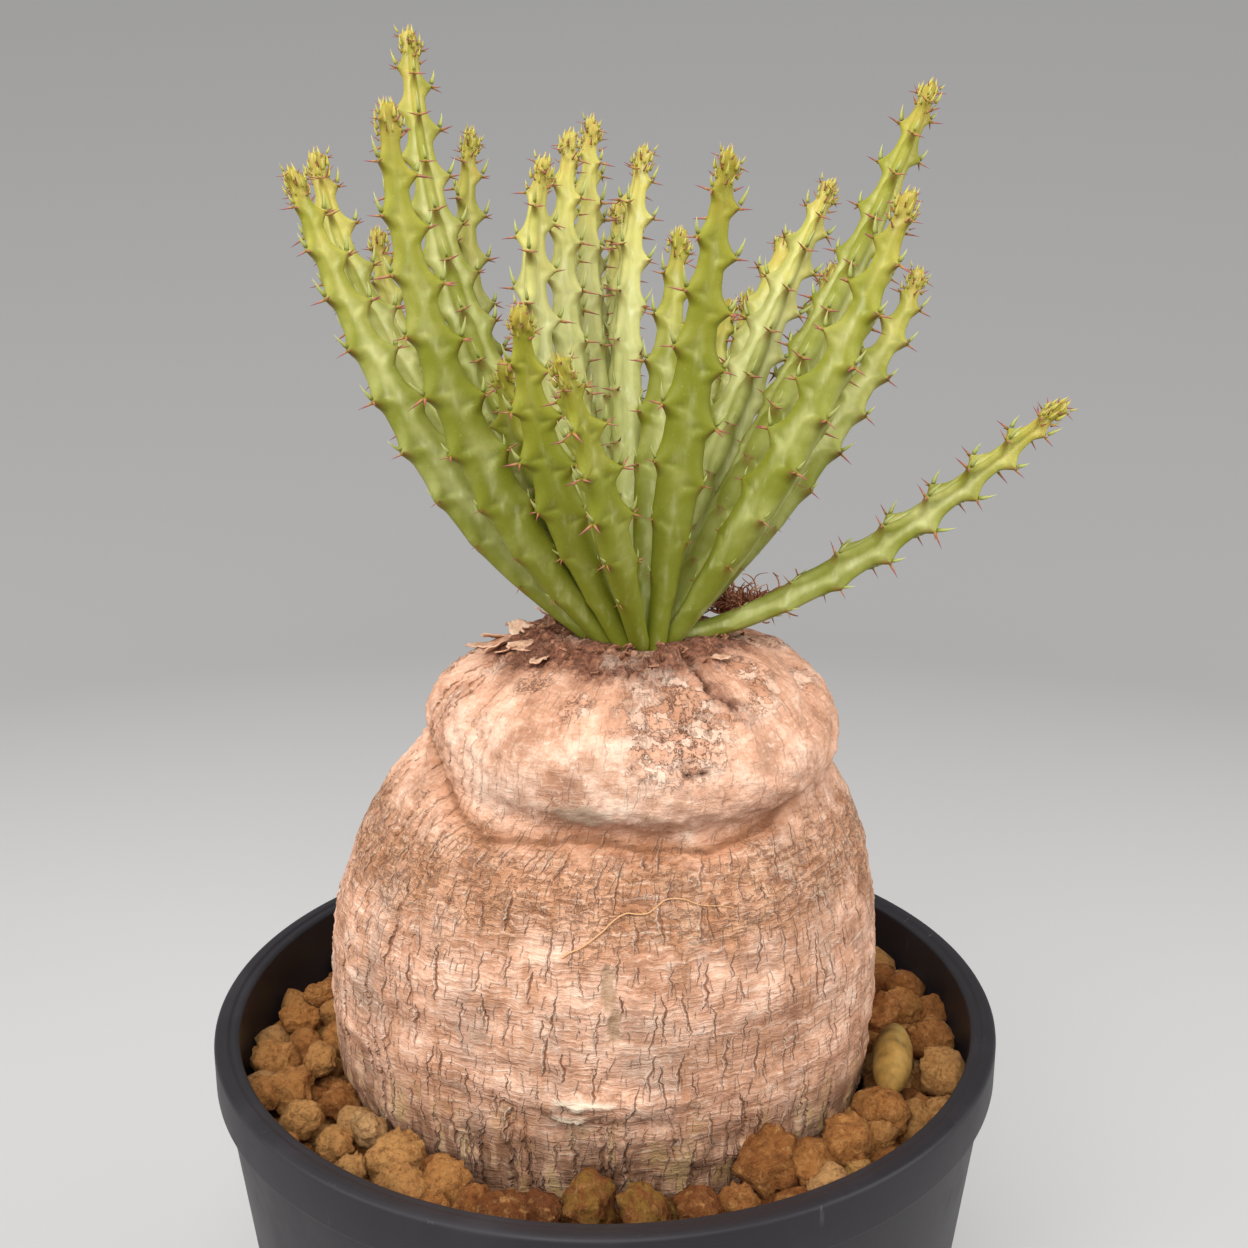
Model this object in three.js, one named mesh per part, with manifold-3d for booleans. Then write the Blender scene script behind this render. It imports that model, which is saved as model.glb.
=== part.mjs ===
// Potted Euphorbia decidua: a swollen corky caudex with a tuft of ribbed, toothed green stems,
// standing in coarse volcanic gravel in a round black plastic pot.
// Millimetres, +Z up. The origin is the centre of the pot's underside, and the front looks to -Y.

import * as THREE from "three";
import { mergeVertices } from "three/addons/utils/BufferGeometryUtils.js";
import Module from "manifold-3d";

// Clearance left between neighbouring pieces
const GAP = 0.32;
// Points closer than this are one point
const MERGE_TOLERANCE = 1e-4;

// Pot
const POT_HEIGHT = 98;
const LIP_RADIUS = 60;
const LIP_INNER_RADIUS = 56.3;
const LIP_HEIGHT = 7;
const LIP_ROUND = 1.2;
const POT_TOP_RADIUS = 58.8;
const POT_FOOT_RADIUS = 48.2;
const POT_FOOT_CHAMFER = 0.9;
const POT_WALL = 2.2;
const POT_FLOOR = 2.4;
const POT_SIDES = 40;
const DRAIN_HOLES = 6;
const DRAIN_RADIUS = 4;
const DRAIN_CIRCLE = 30;
const DRAIN_SIDES = 10;

// Gravel
const GRAVEL_LEVEL = 87.5;
const GRAIN_SPACING = 9;
const GRAIN_RADIUS = 4.7;
const GRAIN_DRIFT = 1.3;
const GRAIN_ROUGHNESS = 0.16;
const GRAIN_FLATNESS = 0.78;
const GRAIN_SIZES = [0.85, 1.1];
const GRAIN_LIFTS = [-0.4, 1.2];
const GRAIN_TILT = 0.6;
const GRAIN_SEED = 12;

// The long pebble at the right edge of the bed
const PEBBLE_CENTRE = [45.2, -11.5, 91.4];
const PEBBLE_HALF = [3.1, 8.2, 3.3];
const PEBBLE_TURN = -22;
const PEBBLE_SIDES = 12;
const PEBBLE_RINGS = 8;

// Caudex: a broad lower storey, and a smaller upper one that sits on it and leans to the right
const CAUDEX_CENTRE = [0, -2];
const CAUDEX_BOTTOM = 13;
const GIRTH_LEVEL = 105;
const LOWER_HALF_WIDTH = 41.6;
const LOWER_DEPTH_RATIO = 0.89;
const LOWER_CAP = 42;
const LOWER_CAP_RISE_RIGHT = 7;
const LOWER_CAP_RISE_LEFT = 1;
const LOWER_ROUNDNESS = 2.5;
const ROOT_TAPER = 1.9;
const CROWN_CENTRE = [4.5, -1.8];
const UPPER_LEVEL = 141;
const UPPER_TOP = 157.3;
const UPPER_UNDERSIDE = 9;
const UPPER_HALF_WIDTH = 30.6;
const UPPER_ROUNDNESS = 2.5;
const LEAN_START = 128;
const GROOVE_SOFTNESS = 5;
// Least share of a storey's squared width, so that its cap never closes to a point
const LEAST_WIDTH_SQUARE = 1e-4;
// Slow swellings of the flank: how many go round, the height that turns one by a radian, the height
const LUMPS = [
  { round: 3, climb: 23, height: 0.5 },
  { round: 5, climb: -11, height: 0.35 },
];
const CAUDEX_SIDES = 38;
const RINGS_BELOW_GIRTH = 8;
const RINGS_ABOVE_GIRTH = 10;
// Share of the upper storey's height at which its flank becomes the crown
const CROWN_EDGE = 0.66;
const CROWN_RING_RADII = [23, 19, 16, 13.5, 11, 8, 4];

// Crown: the shallow well that the stems stand in, and the corky collar in front of it
const WELL_RADIUS = 11;
const WELL_SLOPE = 3;
const WELL_DEPTH = 1.4;
const COLLAR_RADIUS = 13.5;
const COLLAR_HEIGHT = 1.7;
const COLLAR_WIDTH = 2.4;
const COLLAR_AZIMUTH = 250;

// Dry fibres behind the crown
const TUFT_CENTRE = [19.5, 10.5, 155.5];
const TUFT_HALF = [5.6, 4.6, 3.2];
const TUFT_SIDES = 9;
const TUFT_RINGS = 6;
const FIBRE_COUNT = 7;
const FIBRE_RADIUS = 0.45;
const FIBRE_REACHES = [3.9, 6.5];
// Where a fibre's curve is drawn to and where it ends, outward and upward in shares of its reach
const FIBRE_BEND = [0.35, 2.6];
const FIBRE_END = [1, 0.45];
const FIBRE_TAPER = 0.4;
const FIBRE_RINGS = 5;
const FIBRE_SEED = 5;

// Stems
const STEM_SINK = 4;
const FOOT_RADIUS = 1.5;
const CORE_RADIUS = 2.25;
const TIP_CORE_RADIUS = 1.8;
const SWELL_LENGTH = 14;
const VALLEY_SHARE = 0.86;
const NOTCH_HEIGHT = 0.3;
const TOOTH_HEIGHT = 1.35;
const TOOTH_PITCH = 9.4;
const BARE_LENGTH = 13;
const BARE_LEVELS = [-STEM_SINK, 0, BARE_LENGTH / 2];
const TIP_LENGTH = 3.5;
const RIBS = 3;
const RIB_STAGGER = [0, 1 / 3, -1 / 3];
const STEM_TWIST = 0.5;
const TWIST_PER_STEM = 1.7;
const SPINE_LENGTH = 2.8;
const SPINE_ROOT = 0.6;
const SPINE_RADIUS = 0.35;
const SPINE_SPREAD = 50;
const SPINE_DROP = 0.2;
const SPINE_CLEARANCE = 1;
const SPINE_MIDDLE = 0.6;
const LEAFLETS = 3;
const LEAFLET_LENGTH = 3.2;
const LEAFLET_RADIUS = 0.6;
const LEAFLET_SPREAD = 32;
const ROOM_SAMPLES = 48;

// Each stem springs from its foot, given as a distance and an azimuth from the crown's centre,
// passes through its knee halfway up and ends at its tip. Azimuth 0 is +X and 90 is +Y.
const STEMS = [
  { foot: [8.5, 204], knee: [-25, -5, 183], tip: [-42, -6, 221] },
  { foot: [8.5, 180], knee: [-30, 6, 194], tip: [-42, 10, 225] },
  { foot: [8.5, 228], knee: [-19, -18, 190], tip: [-26, -22, 227] },
  { foot: [4.9, 150], knee: [-21, 12, 201], tip: [-29, 18, 243] },
  { foot: [8.5, 132], knee: [-19, 20, 192], tip: [-21, 26, 230] },
  { foot: [8.5, 156], knee: [-27, 16, 188], tip: [-36, 24, 215] },
  { foot: [8.5, 252], knee: [-7, -18, 182], tip: [-10, -26, 203] },
  { foot: [8.5, 276], knee: [-1, -25, 182], tip: [-5, -33, 197] },
  { foot: [4.9, 240], knee: [-9, -9, 177], tip: [-13, -13, 196] },
  { foot: [1.6, 150], knee: [-5, 7, 193], tip: [-5, 12, 228] },
  { foot: [4.9, 195], knee: [-9, -2, 193], tip: [-8, -1, 223] },
  { foot: [4.9, 105], knee: [-2, 15, 197], tip: [-2, 20, 231] },
  { foot: [1.6, 330], knee: [3, 12, 194], tip: [6, 22, 227] },
  { foot: [8.5, 108], knee: [1, 23, 189], tip: [2, 34, 220] },
  { foot: [4.9, 285], knee: [8, 3, 187], tip: [11, 8, 214] },
  { foot: [8.5, 300], knee: [12, -14, 195], tip: [16, -18, 222] },
  { foot: [4.9, 60], knee: [14, 16, 185], tip: [20, 28, 204] },
  { foot: [8.5, 84], knee: [18, 27, 185], tip: [24, 37, 206] },
  { foot: [4.9, 15], knee: [22, 12, 193], tip: [35, 22, 222] },
  { foot: [8.5, 60], knee: [21, 21, 193], tip: [30, 34, 215] },
  { foot: [8.5, 36], knee: [28, 23, 188], tip: [38, 38, 210] },
  { foot: [4.9, 330], knee: [31, 7, 198], tip: [48, 14, 235] },
  { foot: [8.5, 324], knee: [27, -14, 187], tip: [39, -18, 217] },
  { foot: [8.5, 12], knee: [38, 17, 188], tip: [50, 26, 209] },
  { foot: [8.5, 348], knee: [40, -2, 169], tip: [65, -4, 190] },
];

const TURN = 2 * Math.PI;
const UP = new THREE.Vector3(0, 0, 1);

const wasm = await Module();
wasm.setup();

// Repeatable random numbers from 0 to 1
function seededRandom(seed) {
  let state = seed;
  return () => {
    state = (state + 0x6d2b79f5) | 0;
    let mixed = Math.imul(state ^ (state >>> 15), 1 | state);
    mixed = (mixed + Math.imul(mixed ^ (mixed >>> 7), 61 | mixed)) ^ mixed;
    return ((mixed ^ (mixed >>> 14)) >>> 0) / 2 ** 32;
  };
}

// A closed geometry as a solid that can be joined and cut
function toSolid(geometry) {
  const bare = geometry.clone();
  bare.deleteAttribute("normal");
  bare.deleteAttribute("uv");
  const merged = mergeVertices(bare, MERGE_TOLERANCE);
  const corners = merged.index.array;
  const kept = [];
  for (let i = 0; i < corners.length; i += 3) {
    const [a, b, c] = [corners[i], corners[i + 1], corners[i + 2]];
    if (a !== b && b !== c && c !== a) kept.push(a, b, c);
  }
  const mesh = new wasm.Mesh({
    numProp: 3,
    vertProperties: new Float32Array(merged.attributes.position.array),
    triVerts: new Uint32Array(kept),
  });
  return new wasm.Manifold(mesh);
}

// The geometry of a joined or cut solid
function toGeometry(solid) {
  const mesh = solid.getMesh();
  const geometry = new THREE.BufferGeometry();
  geometry.setAttribute("position", new THREE.BufferAttribute(mesh.vertProperties, 3));
  geometry.setIndex(new THREE.BufferAttribute(mesh.triVerts, 1));
  geometry.computeVertexNormals();
  return geometry;
}

// A closed skin over rings of points. Each ring turns counter-clockwise seen from the last pole.
function skin(firstPole, rings, lastPole) {
  const sides = rings[0].length;
  const points = [firstPole, ...rings.flat(), lastPole];
  const last = points.length - 1;
  const at = (ring, side) => 1 + ring * sides + (side % sides);
  const index = [];
  for (let side = 0; side < sides; side++) {
    index.push(0, at(0, side + 1), at(0, side));
    for (let ring = 0; ring + 1 < rings.length; ring++) {
      index.push(at(ring, side), at(ring, side + 1), at(ring + 1, side + 1));
      index.push(at(ring, side), at(ring + 1, side + 1), at(ring + 1, side));
    }
    index.push(last, at(rings.length - 1, side), at(rings.length - 1, side + 1));
  }
  const geometry = new THREE.BufferGeometry().setFromPoints(points);
  geometry.setIndex(index);
  return geometry;
}

// A body turned about +Z from a profile of [radius, height] pairs that starts and ends on the axis
function turned(profile, sides) {
  const outline = profile.map(([radius, height]) => new THREE.Vector2(radius, height));
  return new THREE.LatheGeometry(outline, sides).rotateX(Math.PI / 2);
}

// Radius of the pot's inner wall at a height
function potInnerRadius(height) {
  const share = height / (POT_HEIGHT - LIP_HEIGHT);
  return THREE.MathUtils.lerp(POT_FOOT_RADIUS, POT_TOP_RADIUS, share) - POT_WALL;
}

function makePot() {
  const lipFoot = POT_HEIGHT - LIP_HEIGHT;
  let pot = toSolid(turned([
    [0, 0],
    [POT_FOOT_RADIUS - POT_FOOT_CHAMFER, 0],
    [POT_FOOT_RADIUS, POT_FOOT_CHAMFER],
    [POT_TOP_RADIUS, lipFoot],
    [LIP_RADIUS, lipFoot + LIP_ROUND],
    [LIP_RADIUS, POT_HEIGHT - LIP_ROUND],
    [LIP_RADIUS - LIP_ROUND, POT_HEIGHT],
    [LIP_INNER_RADIUS + LIP_ROUND / 2, POT_HEIGHT],
    [LIP_INNER_RADIUS, POT_HEIGHT - LIP_ROUND],
    [potInnerRadius(lipFoot), lipFoot],
    [potInnerRadius(POT_FLOOR), POT_FLOOR],
    [0, POT_FLOOR],
  ], POT_SIDES));
  const drill = new THREE.CylinderGeometry(DRAIN_RADIUS, DRAIN_RADIUS, 4 * POT_FLOOR, DRAIN_SIDES);
  drill.rotateX(Math.PI / 2);
  for (let hole = 0; hole < DRAIN_HOLES; hole++) {
    const angle = TURN * hole / DRAIN_HOLES;
    const x = DRAIN_CIRCLE * Math.cos(angle);
    const y = DRAIN_CIRCLE * Math.sin(angle);
    pot = pot.subtract(toSolid(drill.clone().translate(x, y, 0)));
  }
  return toGeometry(pot);
}

// Distance from a point to an oval, along a direction
function ovalReach(centre, halfWidth, halfDepth, from, angle) {
  const [ux, uy] = [Math.cos(angle) / halfWidth, Math.sin(angle) / halfDepth];
  const [dx, dy] = [(from[0] - centre[0]) / halfWidth, (from[1] - centre[1]) / halfDepth];
  const square = ux * ux + uy * uy;
  const cross = ux * dx + uy * dy;
  const inside = cross * cross - square * (dx * dx + dy * dy - 1);
  return inside > 0 ? (Math.sqrt(inside) - cross) / square : 0;
}

// The larger of two values, with the corner between them rounded
function softMax(a, b, softness) {
  const nearness = Math.max(softness - Math.abs(a - b), 0) / softness;
  return Math.max(a, b) + nearness * nearness * softness / 4;
}

// Half width of the lower storey, which closes higher at its right and left than in front
function lowerHalfWidth(height, angle) {
  if (height < GIRTH_LEVEL) {
    const down = (GIRTH_LEVEL - height) / (GIRTH_LEVEL - CAUDEX_BOTTOM);
    return LOWER_HALF_WIDTH * (1 - down ** ROOT_TAPER);
  }
  const sideways = Math.cos(angle);
  const rise = sideways > 0 ? LOWER_CAP_RISE_RIGHT : LOWER_CAP_RISE_LEFT;
  const up = (height - GIRTH_LEVEL) / (LOWER_CAP + rise * sideways * sideways);
  return LOWER_HALF_WIDTH * Math.sqrt(Math.max(1 - up ** LOWER_ROUNDNESS, LEAST_WIDTH_SQUARE));
}

function upperHalfWidth(height) {
  const span = height > UPPER_LEVEL ? UPPER_TOP - UPPER_LEVEL : UPPER_UNDERSIDE;
  const away = Math.abs(height - UPPER_LEVEL) / span;
  return UPPER_HALF_WIDTH * Math.sqrt(Math.max(1 - away ** UPPER_ROUNDNESS, LEAST_WIDTH_SQUARE));
}

// A point of the caudex's flank, with its surface moved out by a margin
function flankPoint(height, angle, margin) {
  const lean = THREE.MathUtils.smoothstep(height, LEAN_START, UPPER_LEVEL);
  const axis = [0, 1].map((i) => THREE.MathUtils.lerp(CAUDEX_CENTRE[i], CROWN_CENTRE[i], lean));
  const lowerWidth = lowerHalfWidth(height, angle);
  const lowerDepth = lowerWidth * LOWER_DEPTH_RATIO;
  const lower = ovalReach(CAUDEX_CENTRE, lowerWidth, lowerDepth, axis, angle);
  const upperWidth = upperHalfWidth(height);
  const upper = ovalReach(CROWN_CENTRE, upperWidth, upperWidth, axis, angle);
  let reach = softMax(lower, upper, GROOVE_SOFTNESS) + margin;
  for (const lump of LUMPS) reach += lump.height * Math.sin(lump.round * angle + height / lump.climb);
  return new THREE.Vector3(
    axis[0] + reach * Math.cos(angle),
    axis[1] + reach * Math.sin(angle),
    height,
  );
}

// Height of the crown's surface at a distance and an angle from its centre
function crownHeight(radius, angle) {
  const across = 1 - (radius / UPPER_HALF_WIDTH) ** 2;
  const dome = UPPER_LEVEL + (UPPER_TOP - UPPER_LEVEL) * across ** (1 / UPPER_ROUNDNESS);
  const wall = THREE.MathUtils.smoothstep(radius, WELL_RADIUS - WELL_SLOPE, WELL_RADIUS);
  const facing = 0.5 + 0.5 * Math.cos(angle - THREE.MathUtils.degToRad(COLLAR_AZIMUTH));
  const collar = Math.exp(-(((radius - COLLAR_RADIUS) / COLLAR_WIDTH) ** 2));
  return dome - WELL_DEPTH * (1 - wall) + COLLAR_HEIGHT * facing * collar;
}

function crownPoint(radius, angle, margin) {
  return new THREE.Vector3(
    CROWN_CENTRE[0] + radius * Math.cos(angle),
    CROWN_CENTRE[1] + radius * Math.sin(angle),
    crownHeight(radius, angle) + margin,
  );
}

// The whole caudex, or its body grown by a margin to cut its neighbours with
function makeCaudex(margin) {
  const rings = [];
  const ring = (pointAt) => {
    const angles = Array.from({ length: CAUDEX_SIDES }, (_, side) => TURN * side / CAUDEX_SIDES);
    rings.push(angles.map(pointAt));
  };
  for (let i = 1 - RINGS_BELOW_GIRTH; i < 0; i++) {
    const down = Math.sin(Math.PI / 2 * i / RINGS_BELOW_GIRTH);
    ring((angle) => flankPoint(GIRTH_LEVEL + down * (GIRTH_LEVEL - CAUDEX_BOTTOM), angle, margin));
  }
  const crownEdge = THREE.MathUtils.lerp(UPPER_LEVEL, UPPER_TOP, CROWN_EDGE);
  for (let i = 0; i <= RINGS_ABOVE_GIRTH; i++) {
    const height = THREE.MathUtils.lerp(GIRTH_LEVEL, crownEdge, i / RINGS_ABOVE_GIRTH);
    ring((angle) => flankPoint(height, angle, margin));
  }
  for (const radius of CROWN_RING_RADII) {
    ring((angle) => crownPoint(radius, angle, margin));
  }
  const bottom = new THREE.Vector3(...CAUDEX_CENTRE, CAUDEX_BOTTOM - margin);
  return skin(bottom, rings, crownPoint(0, 0, margin));
}

// A random value between a lowest and a highest one
function between([lowest, highest], random) {
  return THREE.MathUtils.lerp(lowest, highest, random());
}

// One rough grain of gravel about the origin
function makeGrain(random) {
  const ball = new THREE.IcosahedronGeometry(GRAIN_RADIUS, 0);
  ball.deleteAttribute("normal");
  ball.deleteAttribute("uv");
  const grain = mergeVertices(ball);
  const position = grain.attributes.position;
  const corner = new THREE.Vector3();
  for (let i = 0; i < position.count; i++) {
    corner.fromBufferAttribute(position, i);
    corner.multiplyScalar(1 + between([-GRAIN_ROUGHNESS, GRAIN_ROUGHNESS], random));
    position.setXYZ(i, corner.x, corner.y, corner.z * GRAIN_FLATNESS);
  }
  const size = between(GRAIN_SIZES, random);
  grain.scale(size, size, size);
  grain.rotateX(GRAIN_TILT * random());
  grain.rotateZ(TURN * random());
  return grain;
}

// What fills the pot's inside up to a height, clear of its floor and wall
function potFilling(height) {
  const floor = POT_FLOOR + GAP;
  return toSolid(turned([
    [0, floor],
    [potInnerRadius(floor) - GAP, floor],
    [potInnerRadius(height) - GAP, height],
    [0, height],
  ], POT_SIDES));
}

// The mix that fills the pot, with grains all over its top that are trimmed to the pot's wall
function makeGravelBed(caudexCutter, pebbleCutter) {
  let bed = potFilling(GRAVEL_LEVEL);
  const random = seededRandom(GRAIN_SEED);
  const rows = Math.ceil(LIP_RADIUS / GRAIN_SPACING);
  const rowStep = GRAIN_SPACING * Math.sqrt(3) / 2;
  const reach = potInnerRadius(GRAVEL_LEVEL) - GRAIN_RADIUS / 2;
  const drift = [-GRAIN_DRIFT, GRAIN_DRIFT];
  for (let row = -rows; row <= rows; row++) {
    for (let column = -rows; column <= rows; column++) {
      const x = (column + (row % 2) / 2) * GRAIN_SPACING + between(drift, random);
      const y = row * rowStep + between(drift, random);
      const z = GRAVEL_LEVEL + between(GRAIN_LIFTS, random);
      const grain = makeGrain(random).translate(x, y, z);
      const fromCaudex = Math.hypot(
        (x - CAUDEX_CENTRE[0]) / LOWER_HALF_WIDTH,
        (y - CAUDEX_CENTRE[1]) / (LOWER_HALF_WIDTH * LOWER_DEPTH_RATIO),
      );
      if (Math.hypot(x, y) < reach && fromCaudex > 1) bed = bed.add(toSolid(grain));
    }
  }
  bed = bed.intersect(potFilling(POT_HEIGHT));
  return toGeometry(bed.subtract(caudexCutter).subtract(pebbleCutter));
}

function makePebble(margin) {
  const pebble = new THREE.SphereGeometry(1, PEBBLE_SIDES, PEBBLE_RINGS);
  pebble.scale(...PEBBLE_HALF.map((half) => half + margin));
  pebble.rotateZ(THREE.MathUtils.degToRad(PEBBLE_TURN));
  return pebble.translate(...PEBBLE_CENTRE);
}

// A slender spike with three sides, from a root sunk into its carrier to a sharp tip
function makeSpike(root, direction, length, radius) {
  const side = new THREE.Vector3().crossVectors(direction, UP).normalize();
  const other = new THREE.Vector3().crossVectors(direction, side);
  const ring = [0, 1, 2].map((i) => root.clone()
    .addScaledVector(side, radius * Math.cos(TURN * i / 3))
    .addScaledVector(other, radius * Math.sin(TURN * i / 3)));
  const tip = root.clone().addScaledVector(direction, length);
  return skin(root.clone(), [ring], tip);
}

// A curled dry fibre that leaves the tuft, bends over and tapers to a point
function makeFibre(random) {
  const azimuth = TURN * random();
  const reach = between(FIBRE_REACHES, random);
  const start = new THREE.Vector3(...TUFT_CENTRE);
  const outward = new THREE.Vector3(Math.cos(azimuth), Math.sin(azimuth), 0);
  const [bend, end] = [FIBRE_BEND, FIBRE_END].map(([out, up]) => start.clone()
    .addScaledVector(outward, out * reach)
    .addScaledVector(UP, up * reach));
  const path = new THREE.QuadraticBezierCurve3(start, bend, end);
  const side = new THREE.Vector3().crossVectors(outward, UP);
  const rings = [];
  for (let i = 0; i < FIBRE_RINGS; i++) {
    const share = i / FIBRE_RINGS;
    const along = path.getTangent(share);
    const across = new THREE.Vector3().crossVectors(along, side);
    const radius = FIBRE_RADIUS * (1 - FIBRE_TAPER * share);
    const centre = path.getPoint(share);
    rings.push([0, 1, 2].map((corner) => centre.clone()
      .addScaledVector(side, radius * Math.cos(TURN * corner / 3))
      .addScaledVector(across, radius * Math.sin(TURN * corner / 3))));
  }
  return skin(start, rings, end);
}

function makeFibreTuft(caudexCutter) {
  const random = seededRandom(FIBRE_SEED);
  const core = new THREE.SphereGeometry(1, TUFT_SIDES, TUFT_RINGS).rotateX(Math.PI / 2);
  let tuft = toSolid(core.scale(...TUFT_HALF).translate(...TUFT_CENTRE));
  for (let fibre = 0; fibre < FIBRE_COUNT; fibre++) {
    tuft = tuft.add(toSolid(makeFibre(random)));
  }
  return tuft.subtract(caudexCutter);
}

// The line that a stem follows, and the plane that it bends in
function stemPath({ foot, knee, tip }) {
  const azimuth = THREE.MathUtils.degToRad(foot[1]);
  const start = crownPoint(foot[0], azimuth, 0);
  const end = new THREE.Vector3(...tip);
  const middle = start.clone().add(end).multiplyScalar(0.5);
  const control = new THREE.Vector3(...knee).multiplyScalar(2).sub(middle);
  const curve = new THREE.QuadraticBezierCurve3(start, control, end);
  const toControl = control.clone().sub(start);
  const toEnd = end.clone().sub(start);
  return {
    curve,
    length: curve.getLength(),
    binormal: new THREE.Vector3().crossVectors(toControl, toEnd).normalize(),
    samples: curve.getSpacedPoints(ROOM_SAMPLES),
  };
}

const paths = STEMS.map(stemPath);

// Distance from a point to the nearest other stem's line
function distanceToOthers(point, path) {
  let nearest = Infinity;
  for (const other of paths) {
    if (other === path) continue;
    for (const sample of other.samples) nearest = Math.min(nearest, point.distanceTo(sample));
  }
  return nearest;
}

// Place and directions at a distance along a stem, also a little before its foot
function stemFrame(path, distance) {
  const share = THREE.MathUtils.clamp(distance / path.length, 0, 1);
  const along = path.curve.getTangentAt(share);
  const centre = path.curve.getPointAt(share);
  if (distance < 0) centre.addScaledVector(along, distance);
  return { centre, along, across: new THREE.Vector3().crossVectors(path.binormal, along) };
}

// A point beside a stem's line, at an angle about it and a radius kept clear of its neighbours
function stemPoint(path, distance, angle, radius) {
  const { centre, across } = stemFrame(path, distance);
  const room = distanceToOthers(centre, path) / 2 - GAP / 2;
  const outward = across.multiplyScalar(Math.cos(angle));
  outward.addScaledVector(path.binormal, Math.sin(angle));
  return centre.addScaledVector(outward, Math.min(radius, room));
}

function coreRadius(path, distance) {
  const swell = THREE.MathUtils.smoothstep(distance, 0, SWELL_LENGTH);
  const taper = THREE.MathUtils.smoothstep(distance, SWELL_LENGTH, path.length);
  const grown = THREE.MathUtils.lerp(FOOT_RADIUS, CORE_RADIUS, swell);
  return THREE.MathUtils.lerp(grown, TIP_CORE_RADIUS, taper);
}

function ribAngle(stemNumber, rib, share) {
  return stemNumber * TWIST_PER_STEM + TURN * rib / RIBS + STEM_TWIST * share;
}

// Distances along a stem at which its ribs have a notch, then a tooth, by turns
function toothLevels(path) {
  const ribbed = path.length - BARE_LENGTH - TIP_LENGTH;
  const pairs = Math.round(ribbed / TOOTH_PITCH);
  const step = ribbed / (2 * pairs - 1);
  return Array.from({ length: 2 * pairs }, (_, i) => BARE_LENGTH + i * step);
}

// The rings of a stem's ribbed body, each with a crest for each rib and a valley between ribs
function stemRings(path, stemNumber, levels) {
  const rings = [];
  const step = levels[1] - levels[0];
  for (const distance of BARE_LEVELS) {
    const radius = coreRadius(path, Math.max(distance, 0));
    rings.push(Array.from({ length: 2 * RIBS }, (_, corner) => {
      const angle = ribAngle(stemNumber, corner / 2, 0);
      return stemPoint(path, distance, angle, radius);
    }));
  }
  levels.forEach((level, i) => {
    const isTooth = i % 2 === 1;
    const settled = Math.min(i / 2, (levels.length - 1 - i) / 2, 1);
    const ring = [];
    for (let rib = 0; rib < RIBS; rib++) {
      const next = (rib + 1) % RIBS;
      const crestAt = level + 2 * step * settled * RIB_STAGGER[rib];
      const valleyAt = level + step * settled * (RIB_STAGGER[rib] + RIB_STAGGER[next]);
      const core = coreRadius(path, crestAt);
      const crest = core + (isTooth ? TOOTH_HEIGHT : NOTCH_HEIGHT);
      const crestAngle = ribAngle(stemNumber, rib, crestAt / path.length);
      const valleyAngle = ribAngle(stemNumber, rib + 0.5, valleyAt / path.length);
      ring.push(stemPoint(path, crestAt, crestAngle, crest));
      ring.push(stemPoint(path, valleyAt, valleyAngle, core * VALLEY_SHARE));
    }
    rings.push(ring);
  });
  return rings;
}

// Two points on each spike that stands already, and the stem that it belongs to
const standing = [];

// Whether a spike clears the other stems and the spikes that stand on them
function hasRoom(root, direction, length, path) {
  const points = [SPINE_MIDDLE, 1].map((share) => root.clone().addScaledVector(direction, share * length));
  const stemReach = CORE_RADIUS + TOOTH_HEIGHT + GAP;
  const clearOfStems = points.every((point) => distanceToOthers(point, path) > stemReach);
  const clearOfSpikes = standing.every((other) => (
    other.path === path || points.every((point) => point.distanceTo(other.point) > SPINE_CLEARANCE)
  ));
  if (!clearOfStems || !clearOfSpikes) return false;
  for (const point of points) standing.push({ path, point });
  return true;
}

// A direction between two others, at an angle from the first
function splay(first, second, degrees) {
  const angle = THREE.MathUtils.degToRad(degrees);
  const turnedAway = first.clone().multiplyScalar(Math.cos(angle));
  return turnedAway.addScaledVector(second, Math.sin(angle)).normalize();
}

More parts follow.
